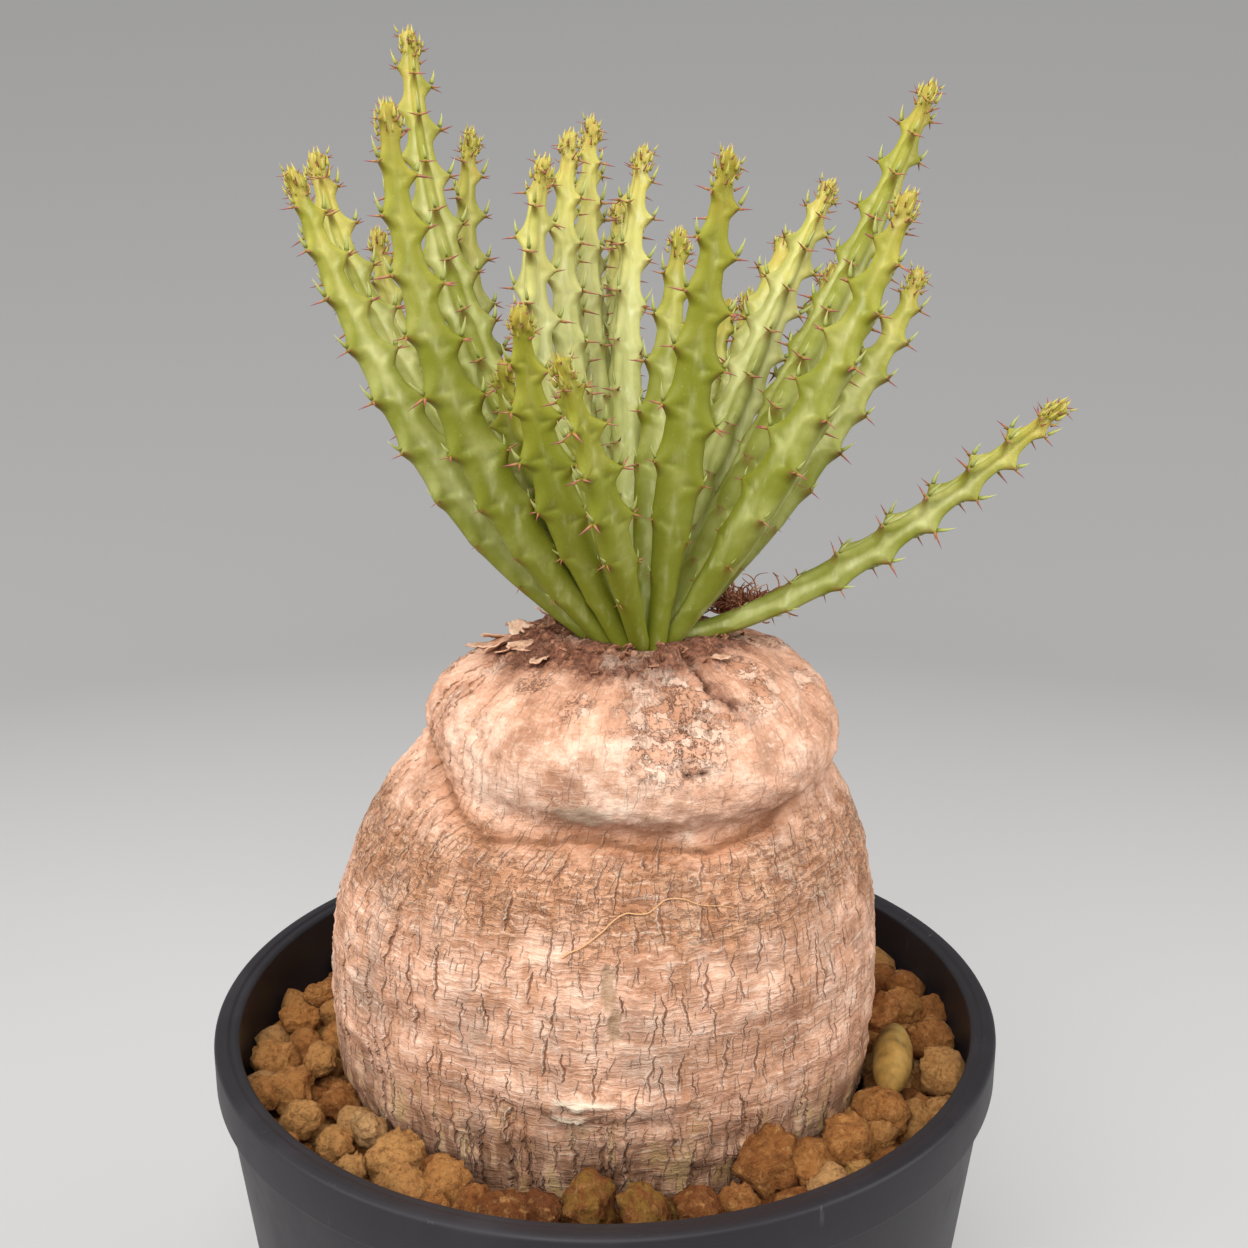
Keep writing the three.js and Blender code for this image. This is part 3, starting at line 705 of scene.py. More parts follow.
@dataclass(frozen=True)
class CorkBark(Finish):
    """Matt corky bark, pink-cream where it is smooth, brown in its cracks and grey in between."""

    pattern: BarkPattern = field(default_factory=BarkPattern)
    groove_level: float = 134.0
    band_level: float = 128.0
    soil_level: float = 92.0

    def paint(self, nodes: Skin) -> Surface:
        """Works out the bark's surface.

        Args:
            nodes: The material's tree.

        Returns:
            Colour, roughness and height in millimetres.
        """
        bark = nodes.mark("bark", "Vector")
        place = nodes.place()
        names = ("level", "cork", "chipped", "peeling", "slit", "crease")
        level, cork, chipped, peeling, slit, crease = map(nodes.mark, names)
        names = ("furrowed", "peeled", "rim", "scar", "rubbed")
        furrowed, peeled, rim, scar, rubbed = map(nodes.mark, names)
        lower = nodes.rise(level, self.groove_level + 3, self.groove_level - 4)
        band_cloud = nodes.noise(place / 6.0 + 4.0, 4.0, 0.62)
        band = nodes.rise(abs(level - self.band_level) + (band_cloud - 0.5) * 22.0, 9.0, 2.0)
        cloud = nodes.noise(place / 7.0, 5.0, 0.62)
        grey = nodes.rise(nodes.noise(place / 10.0 + 9.0, 4.0, 0.62), 0.5, 0.68)
        strips = nodes.rise(self.pattern.strips(nodes, bark), 0.5, 0.3)
        speck = nodes.noise(place * (1.1, 1.1, 1.6), 4.0, 0.68)
        ripple = nodes.noise(place / 2.5, 2.0) * 1.6
        grain = nodes.noise((bark + ripple) * (0.2, 0.2, 2.3), 3.0, 0.6)
        lined = 0.2 + 0.3 * lower + 0.3 * band
        rusty = nodes.noise(place / 2.4, 4.0, 0.66)
        tangle = nodes.rise(nodes.noise(place * (0.7, 0.7, 1.1) + 17.0, 4.0, 0.72, 0.8), 0.5, 0.4)
        # Painted highlight: a pale cream coat on the front of the upper storey's brow, where the light from
        # above and in front falls.
        brow_painted_highlight = nodes.rise(level, 136, 140) * nodes.rise(level, 151, 146) * nodes.rise(cloud, 0.35, 0.65)
        brow_painted_highlight = brow_painted_highlight * nodes.rise(abs(place.part(0) + 5.0), 18.0, 6.0)
        stained = nodes.rise(level + (band_cloud - 0.5) * 8.0, 146, 156)
        smear = nodes.rise(nodes.noise(bark * (0.4, 0.4, 0.11) + 7.0, 4.0, 0.62), 0.52, 0.7)
        corky = nodes.noise(place / 1.1, 4.0, 0.7)
        lift, shade, gap = self.pattern.scales(nodes, place)
        torn = nodes.math("MAXIMUM", chipped, peeling)
        soil = nodes.rise(level, self.soil_level + 11, self.soil_level - 1)
        soil_cloud = nodes.noise(bark * (0.35, 0.35, 0.12), 4.0, 0.6)
        wide, wide_lip = self.pattern.wide.draw(nodes, bark)
        fine, fine_lip = self.pattern.fine.draw(nodes, bark)
        furrow, _ = self.pattern.furrow.draw(nodes, bark)
        whole = 1.0 - nodes.math("MAXIMUM", peeled, nodes.math("MAXIMUM", scar, rubbed))
        marked = (0.3 + 0.7 * lower) * whole
        # The lips of the cracks are raised and painted pale: a painted highlight on one side of each crack.
        raised_lips_painted_highlight = nodes.math("MAXIMUM", wide_lip, fine_lip * 0.6) * marked
        strength = nodes.rise(nodes.noise(place / 5.0 + 3.0, 2.0), 0.3, 0.6)
        dark = nodes.math("MAXIMUM", wide, fine * 0.6) * marked * (0.3 + 0.6 * strength)
        coarse = nodes.noise(place * 1.8, 4.0, 0.65)
        smooth = {0.3: "a2745a", 0.42: "c49274", 0.5: "d9a688", 0.6: "ebbc9f", 0.76: "f6d8c0"}
        tint = nodes.ramp(cloud, smooth).coated(
            (grey * (0.2 + 0.35 * lower), "b39c8b"),
            (strips * lower * 0.4, "b0866a"),
            (nodes.rise(speck, 0.5, 0.3) * 0.5, "a87455"),
            (nodes.rise(speck, 0.54, 0.72) * 0.5, "fbe2cc"),
            (nodes.rise(grain, 0.5, 0.36) * lined, "a06e52"),
            (nodes.rise(grain, 0.55, 0.7) * lined, "fbe0c8"),
            (band * 0.42, nodes.ramp(rusty, {0.35: "8a5632", 0.5: "b57c50", 0.68: "d9a677"})),
            (tangle * band * 0.5, "7c5036"),
            (brow_painted_highlight * 0.6, "fde6d0"),
            (stained * 0.45, nodes.ramp(cloud, {0.35: "a06c50", 0.5: "c08a6c", 0.7: "d8a88c"})),
            (smear * (0.15 + 0.35 * lower), "b57c54"),
            # In the crease under the brow: an orange-brown coat that is partly a brown stain and partly
            # painted shade, and a dark line of painted shadow in its depth.
            (crease * (0.35 + band_cloud * 0.4), "ac7044"),
            (nodes.rise(crease, 0.7, 0.98) * 0.6, "6c4228"),
            (cork * 0.85, nodes.ramp(corky, {0.36: "4c2416", 0.5: "7e4832", 0.68: "b67e60"})),
            (torn * 0.55, nodes.ramp(shade, {0.1: "b07a5a", 0.5: "d8a688", 0.9: "f4d8c2"})),
            # Painted shadow: dark lines along the gaps between the torn scales.
            (gap * nodes.rise(shade, 0.75, 0.35) * torn * 0.85, "6e4430"),
            (soil * nodes.rise(soil_cloud, 0.36, 0.6) * 0.8, "6b4a2e"),
            (soil * nodes.rise(soil_cloud, 0.5, 0.38) * 0.6, "a08c50"),
            (peeled, nodes.ramp(speck, {0.3: "a88464", 0.6: "c4a286"})),
            (rim * 0.9, "fae4ca"),
            (rubbed * 0.7, "b9a48c"),
            (scar * 0.85, "f6e3c8"),
            (raised_lips_painted_highlight * 0.3, "fde6d0"),
            (furrow * furrowed * 0.65, nodes.blend(soil, colour("9a6844"), colour("4e3220"))),
            (dark, "8a5638"),
            # Painted shade: the slit and the line of the cleft are painted nearly black.
            (slit, "4a2a1a"),
        )
        height = (
            grain * (0.05 + lined * 0.5) + speck * 0.22 + coarse * (0.1 + 0.6 * cork + 0.25 * band)
            - wide * marked * 0.22 - fine * marked * 0.14 + raised_lips_painted_highlight * 0.15 - furrow * furrowed * 0.4
            + (lift - gap * 0.15) * nodes.math("MAXIMUM", torn, cork) * 0.65 - tangle * band * 0.15
        )
        return tint, 0.84, height


@dataclass(frozen=True)
class GreenFlesh(Finish):
    """Waxy green skin, olive at the foot and yellow-green at the tip, with pale hollows that are partly waxy
    bloom and partly a painted sheen.
    """

    def paint(self, nodes: Skin) -> Surface:
        """Works out the stems' surface.

        Args:
            nodes: The material's tree.

        Returns:
            Colour, roughness and height in millimetres.
        """
        place = nodes.place()
        along = nodes.mark("along")
        crest = nodes.mark("crest")
        shield = nodes.mark("shield")
        tone = nodes.mark("tone")
        cloud = nodes.noise(place / 6.0, 3.0, 0.6)
        reach = (along + (cloud - 0.5) * 0.35).clamped()
        greens = {0.0: "727818", 0.25: "767a14", 0.6: "7d8014", 0.88: "929022", 1.0: "a08e2a"}
        creams = {0.0: "9ca04c", 0.3: "b3b66c", 0.7: "c6c480", 0.9: "c8be62", 1.0: "bda84c"}
        # Pale in the hollows: partly the stems' waxy bloom, partly a painted sheen in the valleys.
        hollow = nodes.rise(crest, 0.62, 0.08)
        # The stem's tone pales it: partly its own colour, partly painted shade that keeps the front stems
        # darker.
        share = cloud * 0.62 + tone * (0.55 + hollow * 0.4)
        bloom_and_painted_sheen = nodes.rise(nodes.noise(place * (0.9, 0.9, 0.25), 3.0), 0.45, 0.8)
        speckle = nodes.noise(place * 3.2, 3.0, 0.6)
        tint = nodes.ramp(reach, greens).coated(
            (nodes.rise(share, 0.42, 0.95), nodes.ramp(reach, creams)),
            (bloom_and_painted_sheen * hollow * (0.05 + tone * 0.7), "e0e0b4"),
            (shield * 0.8, "7a5f1e"),
            (nodes.rise(speckle, 0.6, 0.75) * 0.2, "c9d684"),
        )
        height = cloud * 0.1 + speckle * 0.025
        return tint, 0.5 + speckle * 0.14, height


@dataclass(frozen=True)
class SpineHorn(Finish):
    """Spines that are pale at the root and red-brown to the tip."""

    def paint(self, nodes: Skin) -> Surface:
        """Works out the spines' surface.

        Args:
            nodes: The material's tree.

        Returns:
            Colour, roughness and height in millimetres.
        """
        rise = nodes.mark("rise")
        tint = nodes.ramp(rise, {0.0: "a88a35", 0.2: "b07c4c", 0.5: "a65654", 1.0: "743a44"})
        low = nodes.rise(nodes.mark("along"), 0.45, 0.15)
        return nodes.blend(low * 0.75, tint, colour("8e7232")), 0.5, None


@dataclass(frozen=True)
class SmallLeaf(Finish):
    """Little pale green leaves, yellow near the growing tip."""

    def paint(self, nodes: Skin) -> Surface:
        """Works out the leaves' surface.

        Args:
            nodes: The material's tree.

        Returns:
            Colour, roughness and height in millimetres.
        """
        along = nodes.mark("along")
        rise = nodes.mark("rise")
        green = nodes.ramp(rise, {0.0: "90963e", 0.6: "a9b066", 1.0: "c8ba7c"})
        yellow = nodes.ramp(rise, {0.0: "a09a30", 0.6: "bdb552", 1.0: "c98f5a"})
        return nodes.blend(nodes.rise(along, 0.86, 1.0), green, yellow), 0.5, None


@dataclass
class Pot:
    """The round black plastic pot: one moulding with a rolled lip and drain holes."""

    height: float = 98.0
    lip_radius: float = 60.0
    lip_inner_radius: float = 56.3
    lip_height: float = 7.0
    top_radius: float = 58.8
    foot_radius: float = 48.2
    wall: float = 2.2
    floor: float = 2.4
    drain_holes: int = 6
    drain_radius: float = 4.0
    drain_circle: float = 30.0
    sides: int = 224

    def inner_radius(self, height: float) -> float:
        """Radius of the inner wall at a height."""
        share = height / (self.height - self.lip_height)
        return self.foot_radius + (self.top_radius - self.foot_radius) * share - self.wall

    def profile(self) -> list[tuple[float, float, float]]:
        """The outline from the underside up and over the lip to the inner floor.

        Returns:
            Corners as radius, height and the radius that rounds them.
        """
        top, foot = self.height, self.height - self.lip_height
        return [
            (0.0, 0.0, 0.0),
            (self.foot_radius - 5.0, 0.0, 0.4),
            (self.foot_radius, 0.0, 1.0),
            (self.top_radius, foot, 0.25),
            (self.lip_radius, foot + 0.25, 0.6),
            (self.lip_radius, top - 0.05, 1.25),
            (self.lip_radius - 1.9, top, 0.5),
            (self.lip_radius - 2.3, top - 0.3, 0.4),
            (self.lip_inner_radius + 0.6, top - 0.25, 0.35),
            (self.lip_inner_radius, top - 0.6, 0.5),
            (self.inner_radius(foot), foot, 2.0),
            (self.inner_radius(self.floor), self.floor, 1.5),
            (0.0, self.floor, 0.0),
        ]

    def build(self, finish: Finish) -> Object:
        """Turns the outline, drills the floor and dresses the pot.

        Args:
            finish: The plastic.

        Returns:
            The pot.
        """
        outline = rounded_outline(self.profile())
        mesh = turned_mesh("pot_skin", outline, self.sides)
        body = bpy.data.objects.new("pot_body", mesh)
        drills = bpy.data.objects.new("pot_drills", self.drills())
        for item in (body, drills):
            bpy.context.scene.collection.objects.link(item)
        cut = body.modifiers.new("drain", "BOOLEAN")
        cut.operation = "DIFFERENCE"
        cut.object = drills
        graph = bpy.context.evaluated_depsgraph_get()
        graph.update()
        drilled = bpy.data.meshes.new_from_object(body.evaluated_get(graph))
        for item in (body, drills):
            bpy.data.objects.remove(item)
        drilled.materials.clear()
        drilled.materials.append(finish.build())
        drilled.shade_smooth()
        drilled.set_sharp_from_angle(angle=math.radians(50))
        return finished("pot_shell", drilled)

    def drills(self) -> Mesh:
        """The round rods that the drain holes are cut with.

        Returns:
            Their mesh.
        """
        shape = bmesh.new()
        for hole in range(self.drain_holes):
            angle = TURN * hole / self.drain_holes
            x, y = self.drain_circle * math.cos(angle), self.drain_circle * math.sin(angle)
            bmesh.ops.create_cone(
                shape, cap_ends=True, segments=32, radius1=self.drain_radius, radius2=self.drain_radius,
                depth=4 * self.floor, matrix=Matrix.Translation((x, y, 0)),
            )
        mesh = bpy.data.meshes.new("pot_drills")
        shape.to_mesh(mesh)
        shape.free()
        return mesh


def rounded_outline(
    corners: Sequence[tuple[float, float, float]],
    steps: int = 5,
) -> list[tuple[float, float]]:
    """Rounds the corners of an outline.

    Args:
        corners: Radius, height and rounding radius of each corner.
        steps: How many points a rounded corner has.

    Returns:
        Points of the rounded outline.
    """
    points = [corners[0][:2]]
    for before, corner, after in zip(corners, corners[1:], corners[2:]):
        here = Vector(corner[:2])
        back, ahead = Vector(before[:2]) - here, Vector(after[:2]) - here
        cut = min(corner[2], 0.45 * back.length, 0.45 * ahead.length)
        start, end = here + back.normalized() * cut, here + ahead.normalized() * cut
        for step in range(steps):
            share = step / (steps - 1)
            bend = start.lerp(here, share).lerp(here.lerp(end, share), share)
            points.append(tuple(bend))
    points.append(corners[-1][:2])
    return points


def turned_mesh(name: str, outline: Sequence[tuple[float, float]], sides: int) -> Mesh:
    """Turns an outline that starts and ends on the axis into a closed skin.

    Args:
        name: The mesh's name.
        outline: Radius and height of each point, from the underside round to the top.
        sides: How many sides the skin has.

    Returns:
        The mesh.
    """
    angles = np.arange(sides) * TURN / sides
    points = [(0.0, 0.0, outline[0][1])]
    for radius, height in outline[1:-1]:
        points += [(radius * math.cos(a), radius * math.sin(a), height) for a in angles]
    points.append((0.0, 0.0, outline[-1][1]))
    return point_mesh(name, np.array(points), faces=wound_skin(len(outline) - 2, sides))


@dataclass
class Caudex:
    """The swollen stem base: a broad lower storey, a leaning upper one, and its corky crown."""

    centre: tuple[float, float] = (0.0, -2.0)
    bottom: float = 13.0
    girth_level: float = 105.0
    lower_half_width: float = 41.6
    lower_depth_ratio: float = 0.89
    lower_cap: float = 42.0
    cap_rise_right: float = 7.0
    cap_rise_left: float = 1.0
    roundness: float = 2.5
    root_taper: float = 1.9
    crown_centre: tuple[float, float] = (4.5, -1.8)
    upper_level: float = 141.0
    upper_top: float = 157.3
    upper_underside: float = 9.0
    upper_half_width: float = 30.6
    lean_start: float = 128.0
    groove_softness: float = 3.4
    lumps: tuple[tuple[int, float, float], ...] = ((3, 23.0, 0.5), (5, -11.0, 0.35))
    crown_edge: float = 0.66
    well_radius: float = 11.0
    well_slope: float = 3.0
    well_depth: float = 0.5
    collar_radius: float = 13.5
    collar_height: float = 0.9
    collar_width: float = 2.4
    collar_azimuth: float = 190.0
    sides: int = 560
    visible_from: float = 84.0
    hidden_rings: int = 12
    swell_from: float = 15.0
    ring_step: float = 0.62
    least_width_square: float = 1e-4

    def lower_reach(self, height: np.ndarray, angle: np.ndarray) -> np.ndarray:
        """Half width of the lower storey.

        Args:
            height: Heights.
            angle: Angles about the caudex.

        Returns:
            Half widths.
        """
        down = np.clip((self.girth_level - height) / (self.girth_level - self.bottom), 0, 1)
        below = 1 - down ** self.root_taper
        sideways = np.cos(angle)
        rise = np.where(sideways > 0, self.cap_rise_right, self.cap_rise_left) * sideways ** 2
        up = np.clip((height - self.girth_level) / (self.lower_cap + rise), 0, 1)
        above = np.sqrt(np.maximum(1 - up ** self.roundness, self.least_width_square))
        return self.lower_half_width * np.where(height < self.girth_level, below, above)

    def upper_reach(self, height: np.ndarray) -> np.ndarray:
        """Half width of the upper storey at some heights."""
        span = np.where(height > self.upper_level, self.upper_top - self.upper_level, self.upper_underside)
        away = np.clip(np.abs(height - self.upper_level) / span, 0, 1)
        square = np.maximum(1 - away ** self.roundness, self.least_width_square)
        return self.upper_half_width * np.sqrt(square)

    def lump(self, height: np.ndarray, angle: np.ndarray) -> np.ndarray:
        """Slow swellings of the flank at some heights and angles."""
        return sum(size * np.sin(count * angle + height / climb) for count, climb, size in self.lumps)

    def flank(self, height: np.ndarray, angle: np.ndarray) -> np.ndarray:
        """Points of the flank.

        Args:
            height: Heights.
            angle: Angles about the caudex.

        Returns:
            One row of X, Y, Z for each.
        """
        lean = smoothstep(height, self.lean_start, self.upper_level)
        axis = [self.centre[i] + (self.crown_centre[i] - self.centre[i]) * lean for i in (0, 1)]
        width = self.lower_reach(height, angle)
        lower = oval_reach(self.centre, width, width * self.lower_depth_ratio, axis, angle)
        width = self.upper_reach(height)
        upper = oval_reach(self.crown_centre, width, width, axis, angle)
        near = np.maximum(self.groove_softness - np.abs(lower - upper), 0) / self.groove_softness
        reach = np.maximum(lower, upper) + near ** 2 * self.groove_softness / 4 + self.lump(height, angle)
        x, y = axis[0] + reach * np.cos(angle), axis[1] + reach * np.sin(angle)
        return np.stack([x, y, height + 0 * angle], -1)

    def crown(self, radius: np.ndarray, angle: np.ndarray) -> np.ndarray:
        """Points of the crown.

        Args:
            radius: Distances from the crown's centre.
            angle: Angles about it.

        Returns:
            One row of X, Y, Z for each.
        """
        across = 1 - (radius / self.upper_half_width) ** 2
        dome = self.upper_level + (self.upper_top - self.upper_level) * across ** (1 / self.roundness)
        wall = smoothstep(radius, self.well_radius - self.well_slope, self.well_radius)
        facing = 0.5 + 0.5 * np.cos(angle - math.radians(self.collar_azimuth))
        collar = np.exp(-((radius - self.collar_radius) / self.collar_width) ** 2)
        height = dome - self.well_depth * (1 - wall) + self.collar_height * facing * collar
        x = self.crown_centre[0] + radius * np.cos(angle)
        y = self.crown_centre[1] + radius * np.sin(angle)
        return np.stack([x, y, height], -1)

    def rings(self) -> np.ndarray:
        """All rings of the skin, from the root up to the crown.

        Returns:
            Points by ring and side.
        """
        angle = np.arange(self.sides) * TURN / self.sides
        edge = self.upper_level + (self.upper_top - self.upper_level) * self.crown_edge
        hidden = np.sin(np.linspace(0, math.pi / 2, self.hidden_rings + 1)[1:-1] - math.pi / 2)
        heights = list(self.visible_from + hidden * (self.visible_from - self.bottom))
        dense = np.linspace(self.visible_from, edge, 800)
        outline = self.flank(dense, np.full_like(dense, -math.pi / 2))
        heights += list(evenly_spaced(dense, outline, self.ring_step))
        rings = [self.flank(np.full_like(angle, height), angle) for height in heights]
        rim = self.upper_half_width * math.sqrt(1 - self.crown_edge ** self.roundness)
        inner = self.well_radius + 1.0
        steps = round((rim - inner) / self.ring_step)
        radii = list(np.linspace(rim, inner, steps + 1)[1:]) + [9.5, 7.5, 5.0, 2.5]
        for radius in radii:
            swell = self.lump(np.full_like(angle, edge), angle)
            swell = swell * smoothstep(np.full_like(angle, radius), self.swell_from, rim)
            ring = self.crown(np.full_like(angle, radius), angle)
            ring[:, 0] += swell * np.cos(angle)
            ring[:, 1] += swell * np.sin(angle)
            rings.append(ring)
        return np.array(rings)


def oval_reach(
    centre: Sequence[float],
    half_width: np.ndarray,
    half_depth: np.ndarray,
    start: Sequence[np.ndarray],
    angle: np.ndarray,
) -> np.ndarray:
    """Distance from a point to an oval, along a direction.

    Args:
        centre: The oval's centre.
        half_width: Half of its width.
        half_depth: Half of its depth.
        start: The point, inside the oval or not.
        angle: The direction.

    Returns:
        The distance, or 0 where the oval is missed.
    """
    ux, uy = np.cos(angle) / half_width, np.sin(angle) / half_depth
    dx, dy = (start[0] - centre[0]) / half_width, (start[1] - centre[1]) / half_depth
    square = ux * ux + uy * uy
    cross = ux * dx + uy * dy
    inside = cross * cross - square * (dx * dx + dy * dy - 1)
    return np.where(inside > 0, (np.sqrt(np.maximum(inside, 0)) - cross) / square, 0)


def evenly_spaced(values: np.ndarray, points: np.ndarray, step: float) -> np.ndarray:
    """Picks values so that their points lie about one step apart.

    Args:
        values: Rising values.
        points: The point at each of them.
        step: The distance wanted.

    Returns:
        The picked values.
    """
    run = np.concatenate([[0], np.cumsum(np.linalg.norm(np.diff(points, axis=0), axis=1))])
    count = round(run[-1] / step)
    return np.interp(np.linspace(0, run[-1], count + 1), run, values)


def line_nearness(points: np.ndarray, line: np.ndarray, width: float) -> np.ndarray:
    """How near points lie to a line of straight stretches.

    Args:
        points: One row of X, Y, Z for each point.
        line: The line's own points.
        width: Distance at which nearness has fallen to about a third.

    Returns:
        Nearness from 1 on the line down to 0.
    """
    best = np.full(len(points), np.inf)
    for start, end in zip(line, line[1:]):
        run = end - start
        share = np.clip((points - start) @ run / (run @ run), 0, 1)
        gap = points - start - share[:, None] * run
        best = np.minimum(best, (gap ** 2).sum(1))
    return np.exp(-best / width ** 2)


@dataclass(frozen=True)
class Spot:
    """A round patch on the caudex, by the direction and height at which it lies."""

    azimuth: float
    height: float
    half_width: float
    half_height: float


@dataclass
class BarkSkin:
    """The caudex's bark: its form, the marks that it carries and its finish."""

    caudex: Caudex
    pattern: BarkPattern = field(default_factory=BarkPattern)
    around: float = 40.0
    chipped: Spot = Spot(-80.0, 149.2, 6.6, 5.6)
    rubbed: Spot = Spot(-103.0, 138.5, 3.6, 1.8)
    peeled: tuple[Spot, ...] = (Spot(-88.8, 117.8, 1.0, 3.0), Spot(-87.6, 113.0, 0.9, 2.8))
    scars: tuple[Spot, ...] = (Spot(-94.5, 102.2, 3.8, 0.5), Spot(-96.5, 99.6, 2.4, 0.55))
    trims: tuple[tuple[Spot, float], ...] = (
        (Spot(178.0, 128.0, 26.0, 13.0), -0.8), (Spot(-8.0, 151.0, 13.0, 5.0), -0.8),
        (Spot(184.0, 146.0, 13.0, 6.0), 1.3), (Spot(-96.0, 142.5, 24.0, 6.0), 0.7),
        (Spot(-40.0, 141.5, 12.0, 5.0), 0.5), (Spot(-90.0, 101.5, 9.0, 1.6), 0.7),
    )
    cleft: tuple[tuple[float, float], ...] = (
        (-63.5, 13.5), (-63.6, 16.6), (-63.2, 19.1), (-62.7, 22.3), (-61.7, 24.1), (-59.0, 26.2),
    )
    peel_waves: tuple[tuple[float, float, float], ...] = (
        (0.42, 0.25, 0.31), (-0.31, 0.44, 0.5), (0.55, -0.35, -0.28), (0.12, 0.2, -0.85),
    )
    slit: tuple[tuple[float, float], ...] = ((-79.0, 144.9), (-76.5, 144.3), (-73.0, 144.7))
    shoulder: tuple[tuple[float, float], ...] = ((-30, 147), (-16, 149.5), (-6, 151.8), (5, 152.5))
    crease: tuple[tuple[float, float], ...] = (
        (-186, 147), (-173, 142), (-152, 138.6), (-139, 136.2), (-126, 134.0), (-110, 134.6), (-100, 135.2),
        (-86, 134.2), (-66, 133.4), (-49, 134.8), (-36, 137.2), (-24, 140.0), (-12, 143.4),
    )

    def on_surface(self, places: Sequence[tuple[float, float]]) -> np.ndarray:
        """Points on the caudex from azimuths in degrees and heights."""
        angles = np.radians([azimuth for azimuth, _ in places])
        return self.caudex.flank(np.array([height for _, height in places], float), angles)

    def patch(self, points: np.ndarray, spot: Spot, edge: float = 0.6) -> np.ndarray:
        """How far each point is inside a patch.

        Args:
            points: One row of X, Y, Z for each point.
            spot: The patch.
            edge: Share of its size over which it fades.

        Returns:
            1 inside and 0 outside.
        """
        middle = self.on_surface([(spot.azimuth, spot.height)])[0]
        outward = np.array([math.cos(math.radians(spot.azimuth)), math.sin(math.radians(spot.azimuth)), 0])
        sideways = np.array([-outward[1], outward[0], 0])
        gap = points - middle
        across, up = gap @ sideways, gap[:, 2]
        wander = 0.16 * np.sin(2.1 * up + across) + 0.12 * np.sin(3.7 * up - 2 * across)
        size = np.hypot(across / spot.half_width, up / spot.half_height)
        return (1 - smoothstep(size + wander, 1 - edge / 2, 1 + edge / 2)) * ((gap @ outward) > -14)

    def carrier(self) -> Mesh:
        """The smooth skin with every mark kept on its points.

        Returns:
            The mesh.
        """
        body = self.caudex
        rings = body.rings()
        count, sides = rings.shape[:2]
        foot = np.array([[*body.centre, body.bottom]])
        top = body.crown(np.array([0.0]), np.array([0.0]))
        points = np.concatenate([foot, rings.reshape(-1, 3), top])
        runs = np.linalg.norm(np.diff(rings, axis=0), axis=2).mean(1)
        climb = np.concatenate([[0], np.cumsum(runs)])
        angle = np.arange(sides) * TURN / sides
        bark = np.zeros((count, sides, 3))
        bark[..., 0] = self.around * np.cos(angle)
        bark[..., 1] = self.around * np.sin(angle)
        bark[..., 2] = climb[:, None]
        bark = np.concatenate([[[0, 0, -10]], bark.reshape(-1, 3), [[0, 0, climb[-1] + 3]]])

        facing = np.arctan2(points[:, 1] - body.crown_centre[1], points[:, 0] - body.crown_centre[0])
        radius = np.hypot(points[:, 0] - body.crown_centre[0], points[:, 1] - body.crown_centre[1])
        wander = 1.3 * np.sin(5 * facing) + 0.9 * np.sin(11 * facing + 1)
        wander -= 2.6 * np.cos(facing - math.radians(220))
        cork = (1 - smoothstep(radius + wander, 15.5, 20.5)) * smoothstep(points[:, 2], 151, 153.5)
        bumpy = sum(np.sin(points @ np.array(wave)) for wave in self.peel_waves)
        peeling = smoothstep(bumpy, 0.1, 1.2) * smoothstep(points[:, 2], 146, 151) * 0.75
        peeled = np.maximum.reduce([self.patch(points, spot, 0.12) for spot in self.peeled])
        halo = np.maximum.reduce([self.patch(points, spot, 0.5) for spot in self.peeled])
        scar = np.maximum.reduce([self.patch(points, spot, 0.5) for spot in self.scars])
        shaken = points + 0.5 * np.sin(1.4 * points[:, [2, 0, 1]]) + 0.3 * np.sin(3.1 * points[:, [1, 2, 0]])
        turns, reaches = np.array(self.cleft).T
        cleft_line = body.crown(reaches, np.radians(turns))
        cleft = line_nearness(shaken, cleft_line, 0.6)
        cork = np.maximum(cork, line_nearness(shaken, cleft_line, 1.6) * 0.85)
        slit = line_nearness(points, self.on_surface(self.slit), 0.28)
        crease = line_nearness(points, self.on_surface(self.crease), 1.3)
        left = np.exp(-((np.degrees(np.arctan2(points[:, 1] + 2, points[:, 0])) % 360 - 196) / 34) ** 2)
        foot_zone = 1 - smoothstep(points[:, 2], 90, 106)
        marks = {
            "bark": bark, "level": points[:, 2].copy(), "cork": cork, "cleft": cleft, "crease": crease,
            "peeled": peeled, "peeling": peeling, "rim": np.clip(halo - peeled, 0, 1), "scar": scar,
            "chipped": self.patch(points, self.chipped, 0.8), "rubbed": self.patch(points, self.rubbed, 0.8),
            # The cleft's line joins the slit mark, which is carved in and painted nearly black as painted
            # shade.
            "slit": np.maximum(slit, smoothstep(cleft, 0.2, 0.8) * 0.7),
            "furrowed": np.maximum(left, foot_zone * 0.8),
            "shoulder": line_nearness(points, self.on_surface(self.shoulder), 2.6),
        }
        outward = np.stack([np.cos(facing), np.sin(facing)], 1)
        for spot, push in self.trims:
            points[:, :2] += outward * (push * self.patch(points, spot, 1.6))[:, None]
        return point_mesh("caudex_carrier", points, faces=wound_skin(count, sides), **marks)

